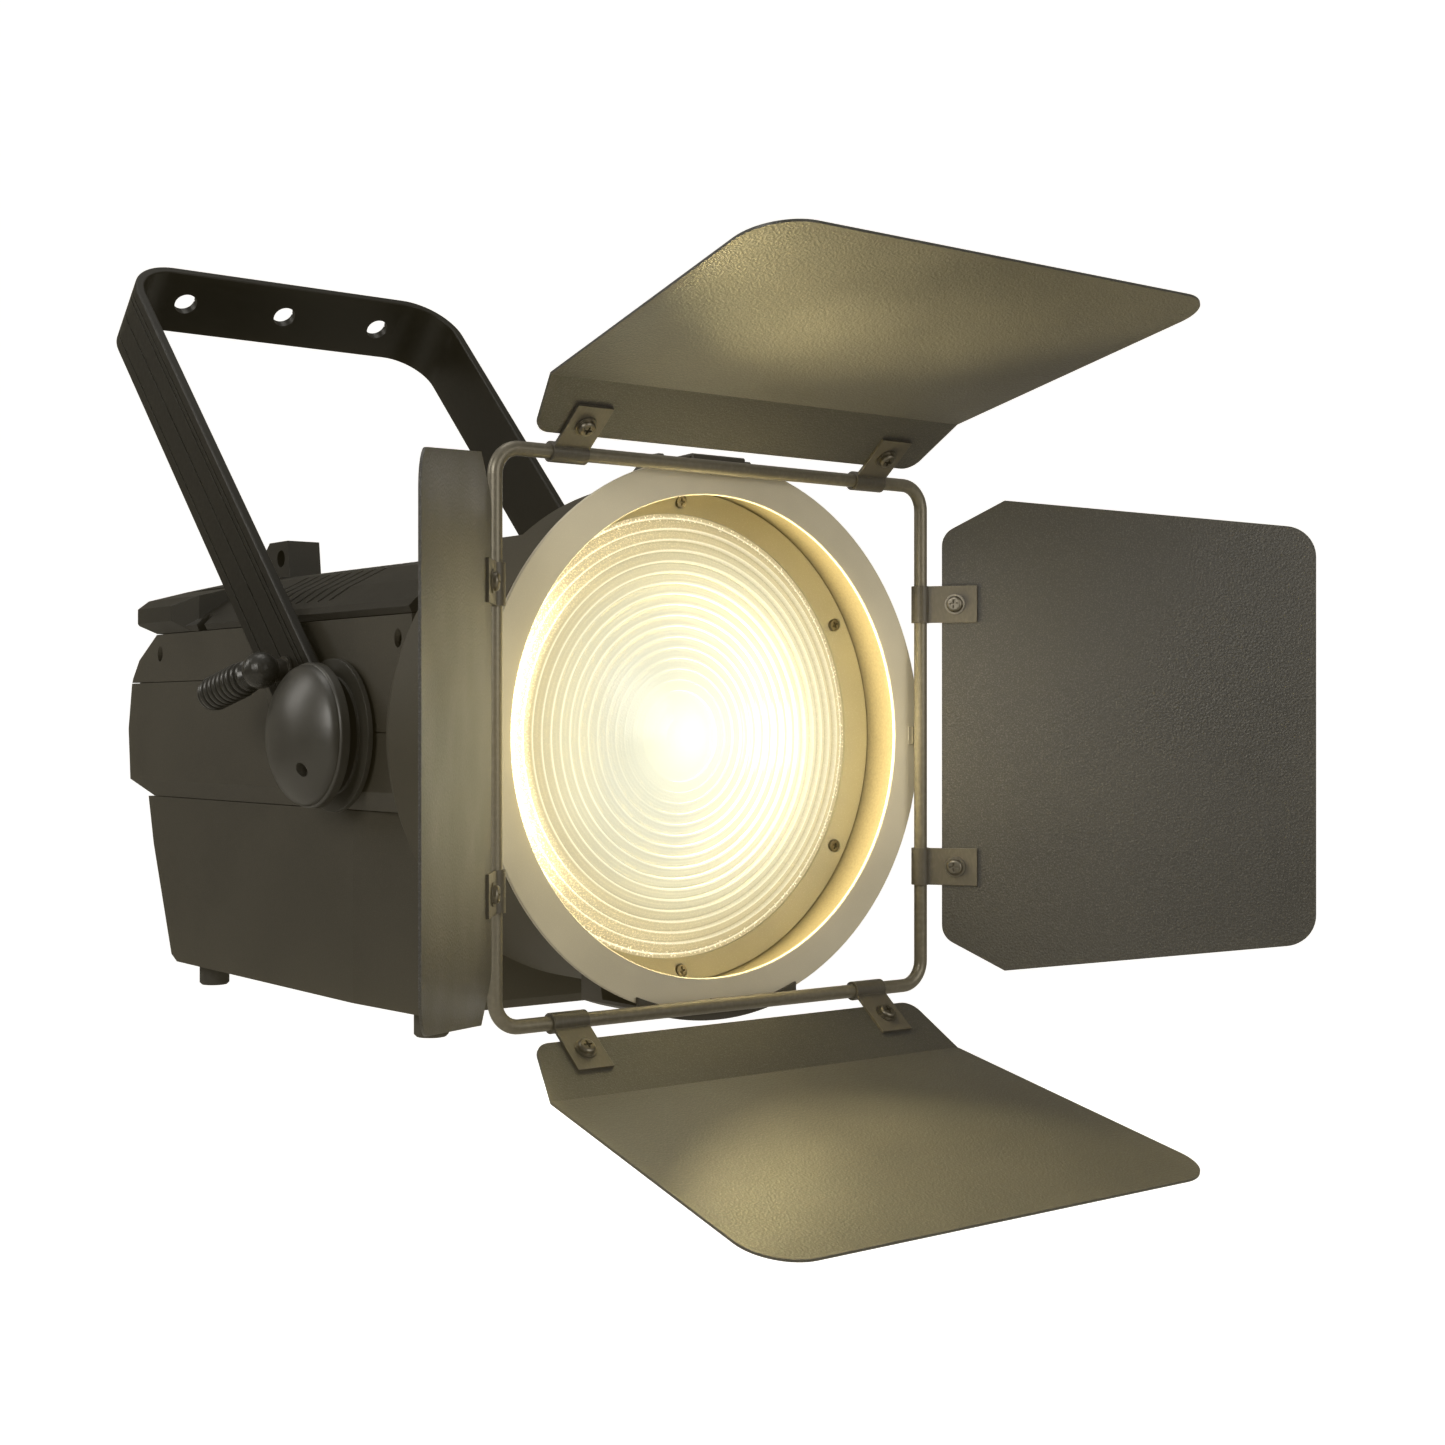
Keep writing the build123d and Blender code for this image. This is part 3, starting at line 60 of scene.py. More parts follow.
# ---------------------------------------------------------------- node helpers
class Nodes:
    """Small builder for a material's node tree."""

    def __init__(self, name):
        self.mat = bpy.data.materials.new(name)
        self.mat.use_nodes = True
        self.t = self.mat.node_tree
        self.t.nodes.clear()
        self.out = self.t.nodes.new("ShaderNodeOutputMaterial")
        tc = self.t.nodes.new("ShaderNodeTexCoord")
        self.co = tc.outputs["Object"]

    def new(self, kind, **props):
        n = self.t.nodes.new("ShaderNode" + kind)
        for k, v in props.items():
            setattr(n, k, v)
        return n

    def put(self, socket, value):
        if hasattr(value, "is_output"):
            self.t.links.new(value, socket)
        elif isinstance(value, (tuple, list)) and len(value) == 3 and socket.type == "RGBA":
            socket.default_value = (*value, 1.0)
        else:
            socket.default_value = value

    def math(self, op, a, b=None, c=None, clamp=False):
        n = self.new("Math", operation=op, use_clamp=clamp)
        self.put(n.inputs[0], a)
        if b is not None:
            self.put(n.inputs[1], b)
        if c is not None:
            self.put(n.inputs[2], c)
        return n.outputs[0]

    def mapping(self, scale=(1, 1, 1), loc=(0, 0, 0), rot=(0, 0, 0)):
        n = self.new("Mapping")
        self.put(n.inputs["Vector"], self.co)
        n.inputs["Scale"].default_value = scale
        n.inputs["Location"].default_value = loc
        n.inputs["Rotation"].default_value = rot
        return n.outputs[0]

    def noise(self, scale, detail=2.0, rough=0.5, vec=None, dist=0.0):
        n = self.new("TexNoise")
        self.put(n.inputs["Vector"], vec if vec is not None else self.co)
        n.inputs["Scale"].default_value = scale
        n.inputs["Detail"].default_value = detail
        n.inputs["Roughness"].default_value = rough
        n.inputs["Distortion"].default_value = dist
        return n.outputs["Fac"]

    def cells(self, scale, vec=None, feature="F1", out="Distance"):
        n = self.new("TexVoronoi", feature=feature)
        self.put(n.inputs["Vector"], vec if vec is not None else self.co)
        n.inputs["Scale"].default_value = scale
        return n.outputs[out]

    def ramp(self, fac, stops, interp="LINEAR"):
        n = self.new("ValToRGB")
        n.color_ramp.interpolation = interp
        els = n.color_ramp.elements
        while len(els) < len(stops):
            els.new(0.5)
        for e, (p, c) in zip(els, stops):
            e.position = p
            e.color = (*c, 1.0) if len(c) == 3 else c
        self.put(n.inputs[0], fac)
        return n.outputs[0]

    def span(self, v, a, b, c=0.0, d=1.0, smooth=False):
        n = self.new("MapRange", interpolation_type="SMOOTHSTEP" if smooth else "LINEAR")
        self.put(n.inputs[0], v)
        for i, x in zip((1, 2, 3, 4), (a, b, c, d)):
            n.inputs[i].default_value = x
        return n.outputs[0]

    def mix(self, fac, a, b):
        n = self.new("Mix", data_type="RGBA")
        self.put(n.inputs["Factor"], fac)
        self.put([s for s in n.inputs if s.name == "A" and s.type == "RGBA"][0], a)
        self.put([s for s in n.inputs if s.name == "B" and s.type == "RGBA"][0], b)
        return [s for s in n.outputs if s.type == "RGBA"][0]

    def bevel(self, radius, samples=3):
        n = self.new("Bevel", samples=samples)
        n.inputs["Radius"].default_value = radius
        return n.outputs[0]

    def edge(self, radius, samples=3):
        """1 near the object's sharp edges, 0 elsewhere."""
        b = self.bevel(radius, samples)
        g = self.new("NewGeometry").outputs["Normal"]
        d = self.new("VectorMath", operation="DOT_PRODUCT")
        self.put(d.inputs[0], b)
        self.put(d.inputs[1], g)
        return self.span(d.outputs["Value"], 1.0, 0.86, 0.0, 1.0)

    def bump(self, height, strength, distance, normal=None):
        n = self.new("Bump")
        n.inputs["Strength"].default_value = strength
        n.inputs["Distance"].default_value = distance
        self.put(n.inputs["Height"], height)
        if normal is not None:
            self.put(n.inputs["Normal"], normal)
        return n.outputs[0]

    def xyz(self):
        n = self.new("SeparateXYZ")
        self.put(n.inputs[0], self.co)
        return n.outputs

    def radius(self, centre):
        """distance from the beam axis"""
        x, y, z = self.xyz()
        a = self.math("POWER", self.math("SUBTRACT", x, centre.x), 2.0)
        b = self.math("POWER", self.math("ABSOLUTE", self.math("SUBTRACT", z, centre.z)), 2.0)
        return self.math("SQRT", self.math("ADD", a, b))

    def principled(self, colour, rough, normal=None, **named):
        p = self.new("BsdfPrincipled")
        self.put(p.inputs["Base Color"], colour)
        self.put(p.inputs["Roughness"], rough)
        if normal is not None:
            self.put(p.inputs["Normal"], normal)
        for k, v in named.items():
            self.put(p.inputs[k.replace("_", " ")], v)
        self.t.links.new(p.outputs[0], self.out.inputs[0])
        return p


def dim(c, k):
    return tuple(min(1.0, v * k) for v in c)


# ---------------------------------------------------------------- finishes
def powder(name, base, rough=0.55, grain=1500.0, depth=0.00012, strength=0.5, speck=0.5, wear_and_edge_highlight=0.35, edge=0.0006, metallic=0.0, spec=0.5, dot=(0.60, 0.74)):
    """Powder coat: fine pebbled skin, light specks, slow shade drift and slightly thin edges, lightened partly as worn
    paint and partly as a painted edge highlight.
    """
    m = Nodes(name)
    fine = m.noise(grain, 3.0, 0.6)
    peb = m.cells(grain * 0.8)
    slow = m.noise(14.0, 3.0, 0.55)
    dots = m.span(m.noise(grain * 1.7, 1.0, 0.4), dot[0], dot[1], 0.0, 1.0)
    col = m.mix(m.span(slow, 0.3, 0.7, 0.0, 1.0), dim(base, 0.86), dim(base, 1.14))
    col = m.mix(m.math("MULTIPLY", dots, speck), col, dim(base, 2.6))
    # edges lightened partly as worn paint, partly as a painted edge highlight
    e = m.edge(edge)
    col = m.mix(m.math("MULTIPLY", e, m.math("MULTIPLY", m.span(m.noise(260.0, 2.0), 0.35, 0.7), wear_and_edge_highlight)), col, dim(base, 4.0))
    r = m.math("ADD", m.span(slow, 0.3, 0.7, rough - 0.05, rough + 0.06), m.math("MULTIPLY", fine, 0.08))
    h = m.math("ADD", m.math("MULTIPLY", fine, 0.6), m.math("MULTIPLY", peb, 0.5))
    n = m.bump(h, strength, depth, m.bevel(edge))
    m.principled(col, r, n, Metallic=metallic, Specular_IOR_Level=spec)
    return m.mat


def satin(name, base, rough=0.36, along=(1, 1, 1), metallic=0.0, wear_and_edge_highlight=0.5, edge=0.0007, coat=0.0, spec=0.5):
    """Anodised or satin-painted metal with a drawn grain along one direction and edges lightened partly as worn finish
    and partly as a painted edge highlight.
    """
    m = Nodes(name)
    grainv = m.mapping(scale=along)
    lines = m.noise(420.0, 2.0, 0.5, grainv)
    slow = m.noise(9.0, 2.0, 0.5)
    micro = m.noise(2600.0, 2.0, 0.5)
    col = m.mix(m.span(slow, 0.3, 0.7), dim(base, 0.85), dim(base, 1.18))
    col = m.mix(m.math("MULTIPLY", m.span(lines, 0.45, 0.7), 0.25), col, dim(base, 1.8))
    # edges lightened partly as worn finish, partly as a painted edge highlight
    e = m.edge(edge)
    col = m.mix(m.math("MULTIPLY", e, m.math("MULTIPLY", m.span(m.noise(180.0, 3.0), 0.3, 0.65), wear_and_edge_highlight)), col, dim(base, 5.0))
    r = m.math("ADD", m.span(lines, 0.3, 0.7, rough - 0.05, rough + 0.05), m.math("MULTIPLY", m.span(slow, 0.3, 0.7), 0.05))
    h = m.math("ADD", m.math("MULTIPLY", lines, 0.5), m.math("MULTIPLY", micro, 0.5))
    n = m.bump(h, 0.25, 0.00006, m.bevel(edge))
    m.principled(col, r, n, Metallic=metallic, Specular_IOR_Level=spec, Coat_Weight=coat, Coat_Roughness=0.3)
    return m.mat


def moulded(name, base, rough=0.5, grain=1100.0, strength=0.3, edge=0.0005, wear_and_edge_highlight=0.15, spec=0.5):
    """Moulded nylon: spark-eroded grain and faint flow shading."""
    m = Nodes(name)
    g = m.cells(grain, feature="SMOOTH_F1")
    f = m.noise(grain * 2.2, 2.0, 0.6)
    slow = m.noise(30.0, 3.0, 0.6, dist=0.4)
    col = m.mix(m.span(slow, 0.3, 0.7), dim(base, 0.88), dim(base, 1.15))
    # edges lightened partly as worn plastic, partly as a painted edge highlight
    e = m.edge(edge)
    col = m.mix(m.math("MULTIPLY", e, wear_and_edge_highlight), col, dim(base, 3.0))
    r = m.math("ADD", m.span(slow, 0.3, 0.7, rough - 0.05, rough + 0.05), m.math("MULTIPLY", f, 0.06))
    h = m.math("ADD", m.math("MULTIPLY", g, 0.6), m.math("MULTIPLY", f, 0.4))
    m.principled(col, r, m.bump(h, strength, 0.0001, m.bevel(edge)), Specular_IOR_Level=spec)
    return m.mat


def metal(name, base, rough=0.28, along=(1, 1, 1), stain=0.3, edge=0.0003):
    """Plated or bare metal with machining lines and faint staining."""
    m = Nodes(name)
    lines = m.noise(700.0, 2.0, 0.6, m.mapping(scale=along))
    slow = m.noise(60.0, 3.0, 0.6)
    col = m.mix(m.math("MULTIPLY", m.span(slow, 0.4, 0.75), stain), base, dim(base, 0.55))
    r = m.math("ADD", m.span(lines, 0.3, 0.7, rough - 0.07, rough + 0.08), m.math("MULTIPLY", slow, 0.08))
    m.principled(col, r, m.bump(lines, 0.2, 0.00005, m.bevel(edge)), Metallic=1.0)
    return m.mat


LENS_POWER = 0.90


def lit_drum(name, base, painted_lit_wall):
    """The drum: textured coat outside; the tube's inner face in front of the lens painted pale and warm as lamp light
    (painted light).
    """
    m = Nodes(name)
    fine = m.noise(1500.0, 3.0, 0.6)
    slow = m.noise(14.0, 3.0, 0.55)
    dots = m.span(m.noise(2500.0, 1.0, 0.4), 0.60, 0.74, 0.0, 1.0)
    col = m.mix(m.span(slow, 0.3, 0.7, 0.0, 1.0), dim(base, 0.86), dim(base, 1.14))
    col = m.mix(m.math("MULTIPLY", dots, 0.4), col, dim(base, 2.4))
    r0 = m.radius(WIRE)
    y = m.xyz()[1]
    rim_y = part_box("front_drum")[0][1]
    # painted light: the tube's inner face up to 32 mm behind the rim is painted pale and warm as if lit by the lamp
    inside = m.span(r0, 0.1088, 0.1092, 1.0, 0.0)
    inside = m.math("MULTIPLY", inside, m.span(y, rim_y + 0.030, rim_y + 0.034, 1.0, 0.0))
    painted_lit_wall_tone = m.mix(m.span(m.noise(900.0, 3.0, 0.6), 0.35, 0.7), painted_lit_wall, dim(painted_lit_wall, 0.82))
    col = m.mix(inside, col, painted_lit_wall_tone)
    # edges lightened partly as worn paint, partly as a painted edge highlight
    e = m.edge(0.0006)
    col = m.mix(m.math("MULTIPLY", e, 0.12), col, dim(base, 4.0))
    r = m.math("ADD", m.span(slow, 0.3, 0.7, 0.50, 0.6), m.math("MULTIPLY", fine, 0.08))
    m.principled(col, r, m.bump(fine, 0.5, 0.00012, m.bevel(0.0006)))
    return m.mat


def ring_finish(name, base, pad):
    """Barn door ring: pale coat, made paler and warmer to stand in for the lamp's glow on it (painted light), with the
    weld pads on its front in the tone of the wire.
    """
    m = Nodes(name)
    fine = m.noise(1600.0, 3.0, 0.6)
    slow = m.noise(14.0, 3.0, 0.55)
    dots = m.span(m.noise(2700.0, 1.0, 0.4), 0.60, 0.74, 0.0, 1.0)
    col = m.mix(m.span(slow, 0.3, 0.7), dim(base, 0.88), dim(base, 1.10))
    col = m.mix(m.math("MULTIPLY", dots, 0.3), col, dim(base, 1.35))
    # edges lightened partly as worn paint, partly as a painted edge highlight
    col = m.mix(m.math("MULTIPLY", m.edge(0.0004), 0.15), col, dim(base, 1.35))
    ahead = m.span(m.math("SUBTRACT", m.xyz()[1], WIRE.y), 0.0050, 0.0053, 1.0, 0.0)
    col = m.mix(ahead, col, pad)
    r = m.math("ADD", m.span(slow, 0.3, 0.7, 0.38, 0.48), m.math("MULTIPLY", fine, 0.08))
    m.principled(col, r, m.bump(fine, 0.4, 0.0001, m.bevel(0.0004)))
    return m.mat


def lens_glass(name):
    """Lit stepped glass: hot behind the middle, cream towards the rim, crisp ring by ring with painted crest
    highlights, with painted glints round the edge.
    """
    m = Nodes(name)
    r = m.radius(LENS)
    x, y, z = m.xyz()
    dx = m.math("SUBTRACT", x, LENS.x)
    dz = m.math("SUBTRACT", z, LENS.z)
    # each ring is a saw tooth from its inner step to its outer slope
    step = 0.0755 / 16
    tooth = m.math("FRACT", m.math("DIVIDE", m.math("SUBTRACT", r, 0.020), step))
    crest = m.span(m.math("ABSOLUTE", m.math("SUBTRACT", tooth, 0.12)), 0.0, 0.15, 1.0, 0.0, True)
    valley = m.span(tooth, 0.72, 0.96, 0.0, 1.0, True)
    fade = m.span(r, 0.022, 0.058, 0.0, 1.0)
    # finer ribs between the steps, broken up round the circle
    ang = m.math("ARCTAN2", dz, dx)
    polar = m.new("CombineXYZ")
    m.put(polar.inputs[0], m.math("MULTIPLY", ang, 1.6))
    m.put(polar.inputs[1], m.math("MULTIPLY", r, 420.0))
    drift = m.noise(1.0, 2.0, 0.6, polar.outputs[0])
    rib = m.math("MULTIPLY", m.span(m.math("SINE", m.math("MULTIPLY", r, 2 * math.pi / (step / 3))), -1.0, 1.0), m.span(drift, 0.35, 0.65))
    # painted refraction: the image of the source behind the glass is painted as a hot spot off the middle, fixed on the
    # glass
    painted_image_dist = m.math("SQRT", m.math("ADD", m.math("POWER", m.math("SUBTRACT", dx, 0.006), 2.0), m.math("POWER", m.math("ABSOLUTE", dz), 2.0)))
    glow = m.ramp(m.math("DIVIDE", painted_image_dist, 0.11), [
        (0.00, (1.00, 1.00, 0.86)), (0.22, (0.96, 0.97, 0.76)), (0.42, (0.97, 0.98, 0.78)), (0.60, (0.90, 0.88, 0.64)),
        (0.78, (0.68, 0.59, 0.35)), (0.92, (0.54, 0.44, 0.24)), (1.0, (0.44, 0.37, 0.21))])
    # painted hot spot: the source's image, brightest at its middle
    painted_hotspot = m.ramp(m.math("DIVIDE", painted_image_dist, 0.05), [(0.0, (1.0,) * 3), (0.35, (0.55,) * 3), (0.7, (0.14,) * 3), (1.0, (0.0,) * 3)])
    # painted highlights: bright bent images of the source painted on the ring slopes, left and right of the middle
    painted_source_images = m.math("MULTIPLY", m.span(m.math("ABSOLUTE", dz), 0.010, 0.018, 1.0, 0.0, True), m.span(m.math("ABSOLUTE", m.math("SUBTRACT", tooth, 0.4)), 0.10, 0.24, 1.0, 0.0, True))
    painted_source_images = m.math("MULTIPLY", painted_source_images, m.span(m.math("ABSOLUTE", m.math("SUBTRACT", dx, 0.052)), 0.008, 0.022, 1.0, 0.0, True))
    # painted glints: cells that sparkle round the very rim, and a painted grainy glare band inside it, strongest on the
    # left
    cellv = m.new("CombineXYZ")
    m.put(cellv.inputs[0], m.math("MULTIPLY", ang, 70.0))
    m.put(cellv.inputs[1], m.math("MULTIPLY", r, 900.0))
    dots = m.cells(1.0, cellv.outputs[0])
    painted_rim_glints = m.math("MULTIPLY", m.span(dots, 0.36, 0.12, 0.0, 1.0), m.span(m.math("ABSOLUTE", m.math("SUBTRACT", r, 0.0962)), 0.0010, 0.0020, 1.0, 0.0))
    leftish = m.span(m.math("DIVIDE", dx, m.math("MAXIMUM", r, 0.001)), 0.2, -0.9, 0.0, 1.0)
    painted_glare_grain = m.math("MULTIPLY", m.span(m.noise(1500.0, 2.0, 0.7), 0.50, 0.70), m.span(r, 0.055, 0.090, 0.12, 1.0))
    painted_left_glare = m.math("MULTIPLY", m.math("MULTIPLY", m.math("ADD", painted_glare_grain, 0.2), leftish), m.span(r, 0.078, 0.095, 0.0, 1.0))
    painted_left_glare = m.math("MULTIPLY", painted_left_glare, m.span(m.math("ABSOLUTE", dz), 0.015, 0.075, 1.0, 0.08, True))
    # glow strength, with painted highlights on the ring crests, painted shade in the ring valleys, a painted hot spot,
    # painted images of the source, painted rim glints and painted glare
    gain = m.math("ADD", 0.74, m.math("MULTIPLY", m.math("MULTIPLY", crest, fade), 0.30))
    gain = m.math("SUBTRACT", gain, m.math("MULTIPLY", m.math("MULTIPLY", valley, fade), 0.16))
    gain = m.math("ADD", gain, m.math("MULTIPLY", m.math("MULTIPLY", rib, fade), 0.12))
    gain = m.math("ADD", gain, m.math("MULTIPLY", painted_hotspot, 0.6))
    gain = m.math("ADD", gain, m.math("MULTIPLY", painted_source_images, 0.7))
    gain = m.math("ADD", gain, m.math("MULTIPLY", painted_rim_glints, 0.9))
    gain = m.math("ADD", gain, m.math("MULTIPLY", painted_glare_grain, 0.20))
    gain = m.math("ADD", gain, m.math("MULTIPLY", painted_left_glare, 22.0))
    strength = m.math("MULTIPLY", gain, LENS_POWER)
    # painted highlight colour on the ring crests and rim glints
    tint = m.mix(m.math("MULTIPLY", m.math("MAXIMUM", m.math("MULTIPLY", crest, fade), painted_rim_glints), 0.6), glow, (1.0, 0.97, 0.76))
    bump = m.bump(m.math("ADD", m.math("MULTIPLY", rib, 0.4), m.noise(1200.0, 2.0, 0.6)), 0.35, 0.0002)
    p = m.principled((0.20, 0.18, 0.12), 0.12, bump, Specular_IOR_Level=0.6)
    m.put(p.inputs["Emission Color"], tint)
    m.put(p.inputs["Emission Strength"], strength)
    # the lamp behind shines through, so the glass casts no shadow of its own
    lp = m.new("LightPath")
    tr = m.new("BsdfTransparent")
    tr.inputs[0].default_value = (1.0, 0.97, 0.86, 1.0)
    mx = m.new("MixShader")
    m.put(mx.inputs[0], lp.outputs["Is Shadow Ray"])
    m.t.links.new(p.outputs[0], mx.inputs[1])
    m.t.links.new(tr.outputs[0], mx.inputs[2])
    m.t.links.new(mx.outputs[0], m.out.inputs[0])
    return m.mat


def board(name):
    m = Nodes(name)
    tr = m.span(m.cells(260.0, feature="DISTANCE_TO_EDGE"), 0.02, 0.06)
    pads = m.span(m.cells(420.0), 0.16, 0.12)
    col = m.mix(tr, (0.03, 0.19, 0.09), (0.012, 0.09, 0.04))
    col = m.mix(m.math("MULTIPLY", pads, 0.7), col, (0.62, 0.52, 0.26))
    m.principled(col, m.span(tr, 0.0, 1.0, 0.3, 0.42), m.bump(tr, 0.3, 0.0001))
    return m.mat


def smoked(name):
    """Display window: dark glossy acrylic with a faint pixel field."""
    m = Nodes(name)
    x, y, z = m.xyz()
    g = m.math("MULTIPLY", m.span(m.math("SINE", m.math("MULTIPLY", x, 5200.0)), -0.2, 0.9), m.span(m.math("SINE", m.math("MULTIPLY", z, 5200.0)), -0.2, 0.9))
    col = m.mix(m.math("MULTIPLY", g, 0.5), (0.012, 0.016, 0.022), (0.03, 0.05, 0.075))
    m.principled(col, m.span(m.noise(40.0, 3.0), 0.3, 0.7, 0.06, 0.14), m.bump(m.noise(300.0), 0.05, 0.00005, m.bevel(0.0004)), Coat_Weight=0.6, Coat_Roughness=0.05)
    return m.mat


def rubber(name):
    m = Nodes(name)
    f = m.noise(1800.0, 3.0, 0.7)
    col = m.mix(m.span(m.noise(120.0, 3.0), 0.4, 0.7), (0.028, 0.027, 0.026), (0.05, 0.048, 0.045))
    m.principled(col, m.span(f, 0.3, 0.7, 0.78, 0.9), m.bump(f, 0.5, 0.00015, m.bevel(0.0005)))
    return m.mat


casing = powder("casing_coat", (0.041, 0.0365, 0.0265), 0.50, 1500, 0.00011, 0.45, 0.35, 0.22)
cover = powder("cover_coat", (0.013, 0.0115, 0.008), 0.42, 1300, 0.00011, 0.45, 0.35, 0.25)
base_coat = powder("base_coat", (0.039, 0.0345, 0.0245), 0.54, 1500, 0.00011, 0.45, 0.35, 0.22)
bracket = powder("bracket_coat", (0.05, 0.046, 0.04), 0.45, 1800, 0.00009, 0.35, 0.3, 0.4, 0.0004)
# retainer coat: a warm tan, made pale partly to stand in for the lamp's light falling on it (painted light)
retainer_lamp_lit_coat = powder("retainer_coat_lamp_lit", (0.50, 0.45, 0.28), 0.42, 1800, 0.00009, 0.35, 0.2, 0.1, 0.0003)
leaf = powder("leaf_coat", (0.026, 0.0255, 0.0243), 0.40, 1150, 0.00022, 0.9, 0.8, 1.2, 0.0003, spec=0.7, dot=(0.52, 0.68))
# ring coat: pale grey paint, raised paler and warmer partly to stand in for the lamp's glow on it (painted light)
ring = ring_finish("ring_coat_painted_glow", (0.74, 0.68, 0.53), (0.17, 0.155, 0.12))
wire = satin("wire_satin", (0.17, 0.155, 0.12), 0.33, (1, 1, 1), 0.45, 0.2, 0.0003)
clip = satin("clip_satin", (0.085, 0.078, 0.066), 0.38, (4, 1, 1), 0.3, 0.5, 0.0003)
yoke = satin("yoke_satin", (0.0045, 0.0038, 0.0022), 0.34, (0.25, 1, 1), 0.1, 0.7, 0.0006, spec=0.35)
pivot = moulded("pivot_nylon", (0.034, 0.032, 0.026), 0.36, 1100, 0.22, spec=0.8)
grip = moulded("grip_nylon", (0.020, 0.019, 0.016), 0.26, 1300, 0.18)
keys = moulded("key_nylon", (0.16, 0.155, 0.15), 0.5, 1500, 0.25)
panelm = moulded("panel_nylon", (0.026, 0.025, 0.023), 0.55, 900, 0.4)
socket = moulded("socket_nylon", (0.017, 0.017, 0.017), 0.4, 1500, 0.2)
blk_screw = metal("screw_black_oxide", (0.10, 0.094, 0.082), 0.34, (1, 1, 1), 0.4)
clip_screw = metal("screw_clip", (0.24, 0.22, 0.18), 0.30, (1, 1, 1), 0.35)
steel = metal("bright_zinc", (0.60, 0.60, 0.58), 0.25, (1, 6, 1), 0.25)
bush = metal("turned_brass", (0.60, 0.46, 0.22), 0.28, (6, 1, 1), 0.3)
grey = powder("chassis_grey", (0.22, 0.22, 0.215), 0.5, 1500, 0.0001, 0.4, 0.2, 0.2)
alu = metal("heat_sink_alu", (0.62, 0.62, 0.62), 0.34, (1, 1, 5), 0.15)
cage = metal("supply_cage", (0.55, 0.56, 0.56), 0.36, (3, 1, 1), 0.4)
glass = lens_glass("lens_lit")
drum = lit_drum("drum_coat", (0.038, 0.033, 0.021), (0.24, 0.20, 0.115))

FINISH = {
    "yoke_bracket": yoke, "yoke_bushes": bush, "pivot_plates": pivot, "pivot_caps": pivot, "pivot_cap_screws": blk_screw,
    "tilt_lock_shoe": casing, "lock_lever_stud": blk_screw, "lock_lever_grip": grip, "tilt_discs": pivot, "tilt_bolts": steel,
    "chassis": grey, "front_drum": drum, "fresnel_lens": glass, "lens_retainer": retainer_lamp_lit_coat, "lens_retainer_screws": clip_screw,
    "lower_holder": bracket, "latch_bracket": bracket, "latch_pin": steel, "accessory_latch": bracket, "latch_spring": steel,
    "upper_casing": casing, "lower_casing": casing, "base_casing": base_coat, "feet": rubber("foot_rubber"), "top_cover": cover,
    "casing_screws": blk_screw, "rear_panel": panelm, "display_window": smoked("display_smoked"), "control_board": board("control_board_mask"),
    "fan_frame": socket, "fan_rotor": socket, "power_inlet": socket, "signal_input": socket, "signal_output": socket, "fuse_holder": socket,
    "guide_rods": steel, "lead_screw": steel, "zoom_motor": grey, "zoom_carriage": grey, "led_module": board("led_board_mask"),
    "heat_sink": alu, "power_supply": cage, "barn_door_ring": ring, "barn_door_frame": wire,
    "menu_button": keys, "up_button": keys, "down_button": keys, "enter_button": keys,
}
for side_name in ("top", "bottom", "left", "right"):
    FINISH[side_name + "_leaf"] = leaf
    FINISH[side_name + "_leaf_clips"] = clip
    FINISH[side_name + "_leaf_screws"] = clip_screw

for name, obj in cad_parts.items():
    o = obj if hasattr(obj, "data") else bpy.data.objects[name]
    mat = FINISH[name]
    if not o.material_slots:
        raise RuntimeError("no material slot on " + name)
    for s in o.material_slots:
        s.link = "DATA"
        s.material = mat

# ---------------------------------------------------------------- the lamp's own light
lamp = bpy.data.lights.new("lamp_inside", "SPOT")
lamp.energy = 18.0
lamp.color = (1.0, 0.89, 0.56)
lamp.spot_size = math.radians(79)
lamp.spot_blend = 0.13
lamp.shadow_soft_size = 0.012
lo_ = bpy.data.objects.new("lamp_inside", lamp)
scene.collection.objects.link(lo_)
lo_.location = (WIRE.x, WIRE.y + 0.118, WIRE.z)
lo_.rotation_mode = "QUATERNION"
lo_.rotation_quaternion = Vector((0, -1, 0)).to_track_quat("-Z", "Y")
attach(lo_, "head")
disc = bpy.data.lights.new("lens_glow", "AREA")
disc.shape = "DISK"
disc.size = 0.176
disc.energy = 1.4
disc.color = (1.0, 0.84, 0.46)
do = bpy.data.objects.new("lens_glow", disc)
scene.collection.objects.link(do)
do.location = LENS + Vector((0, -0.001, 0))
do.rotation_mode = "QUATERNION"
do.rotation_quaternion = Vector((0, -1, 0)).to_track_quat("-Z", "Y")
do.visible_camera = False
do.visible_glossy = False
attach(do, "head")
# light that leaves the lens sideways and falls on the side leaves
for side_sign, spill_watts in ((-1, 0.10), (1, 0.05)):
    spill = bpy.data.lights.new("spill_left" if side_sign < 0 else "spill_right", "AREA")
    spill.shape = "DISK"
    spill.size = 0.05
    spill.energy = spill_watts
    spill.color = (1.0, 0.90, 0.52) if side_sign < 0 else (1.0, 0.93, 0.72)
    so = bpy.data.objects.new(spill.name, spill)
    scene.collection.objects.link(so)
    so.location = WIRE + Vector((side_sign * 0.02, -0.02, 0))
    so.rotation_mode = "QUATERNION"
    so.rotation_quaternion = Vector((side_sign, -0.35, 0)).to_track_quat("-Z", "Y")
    so.visible_camera = False
    so.visible_glossy = False
    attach(so, "head")

# ---------------------------------------------------------------- stage
FLOOR_Z = cad_lo.z - 0.42
bm = bmesh.new()
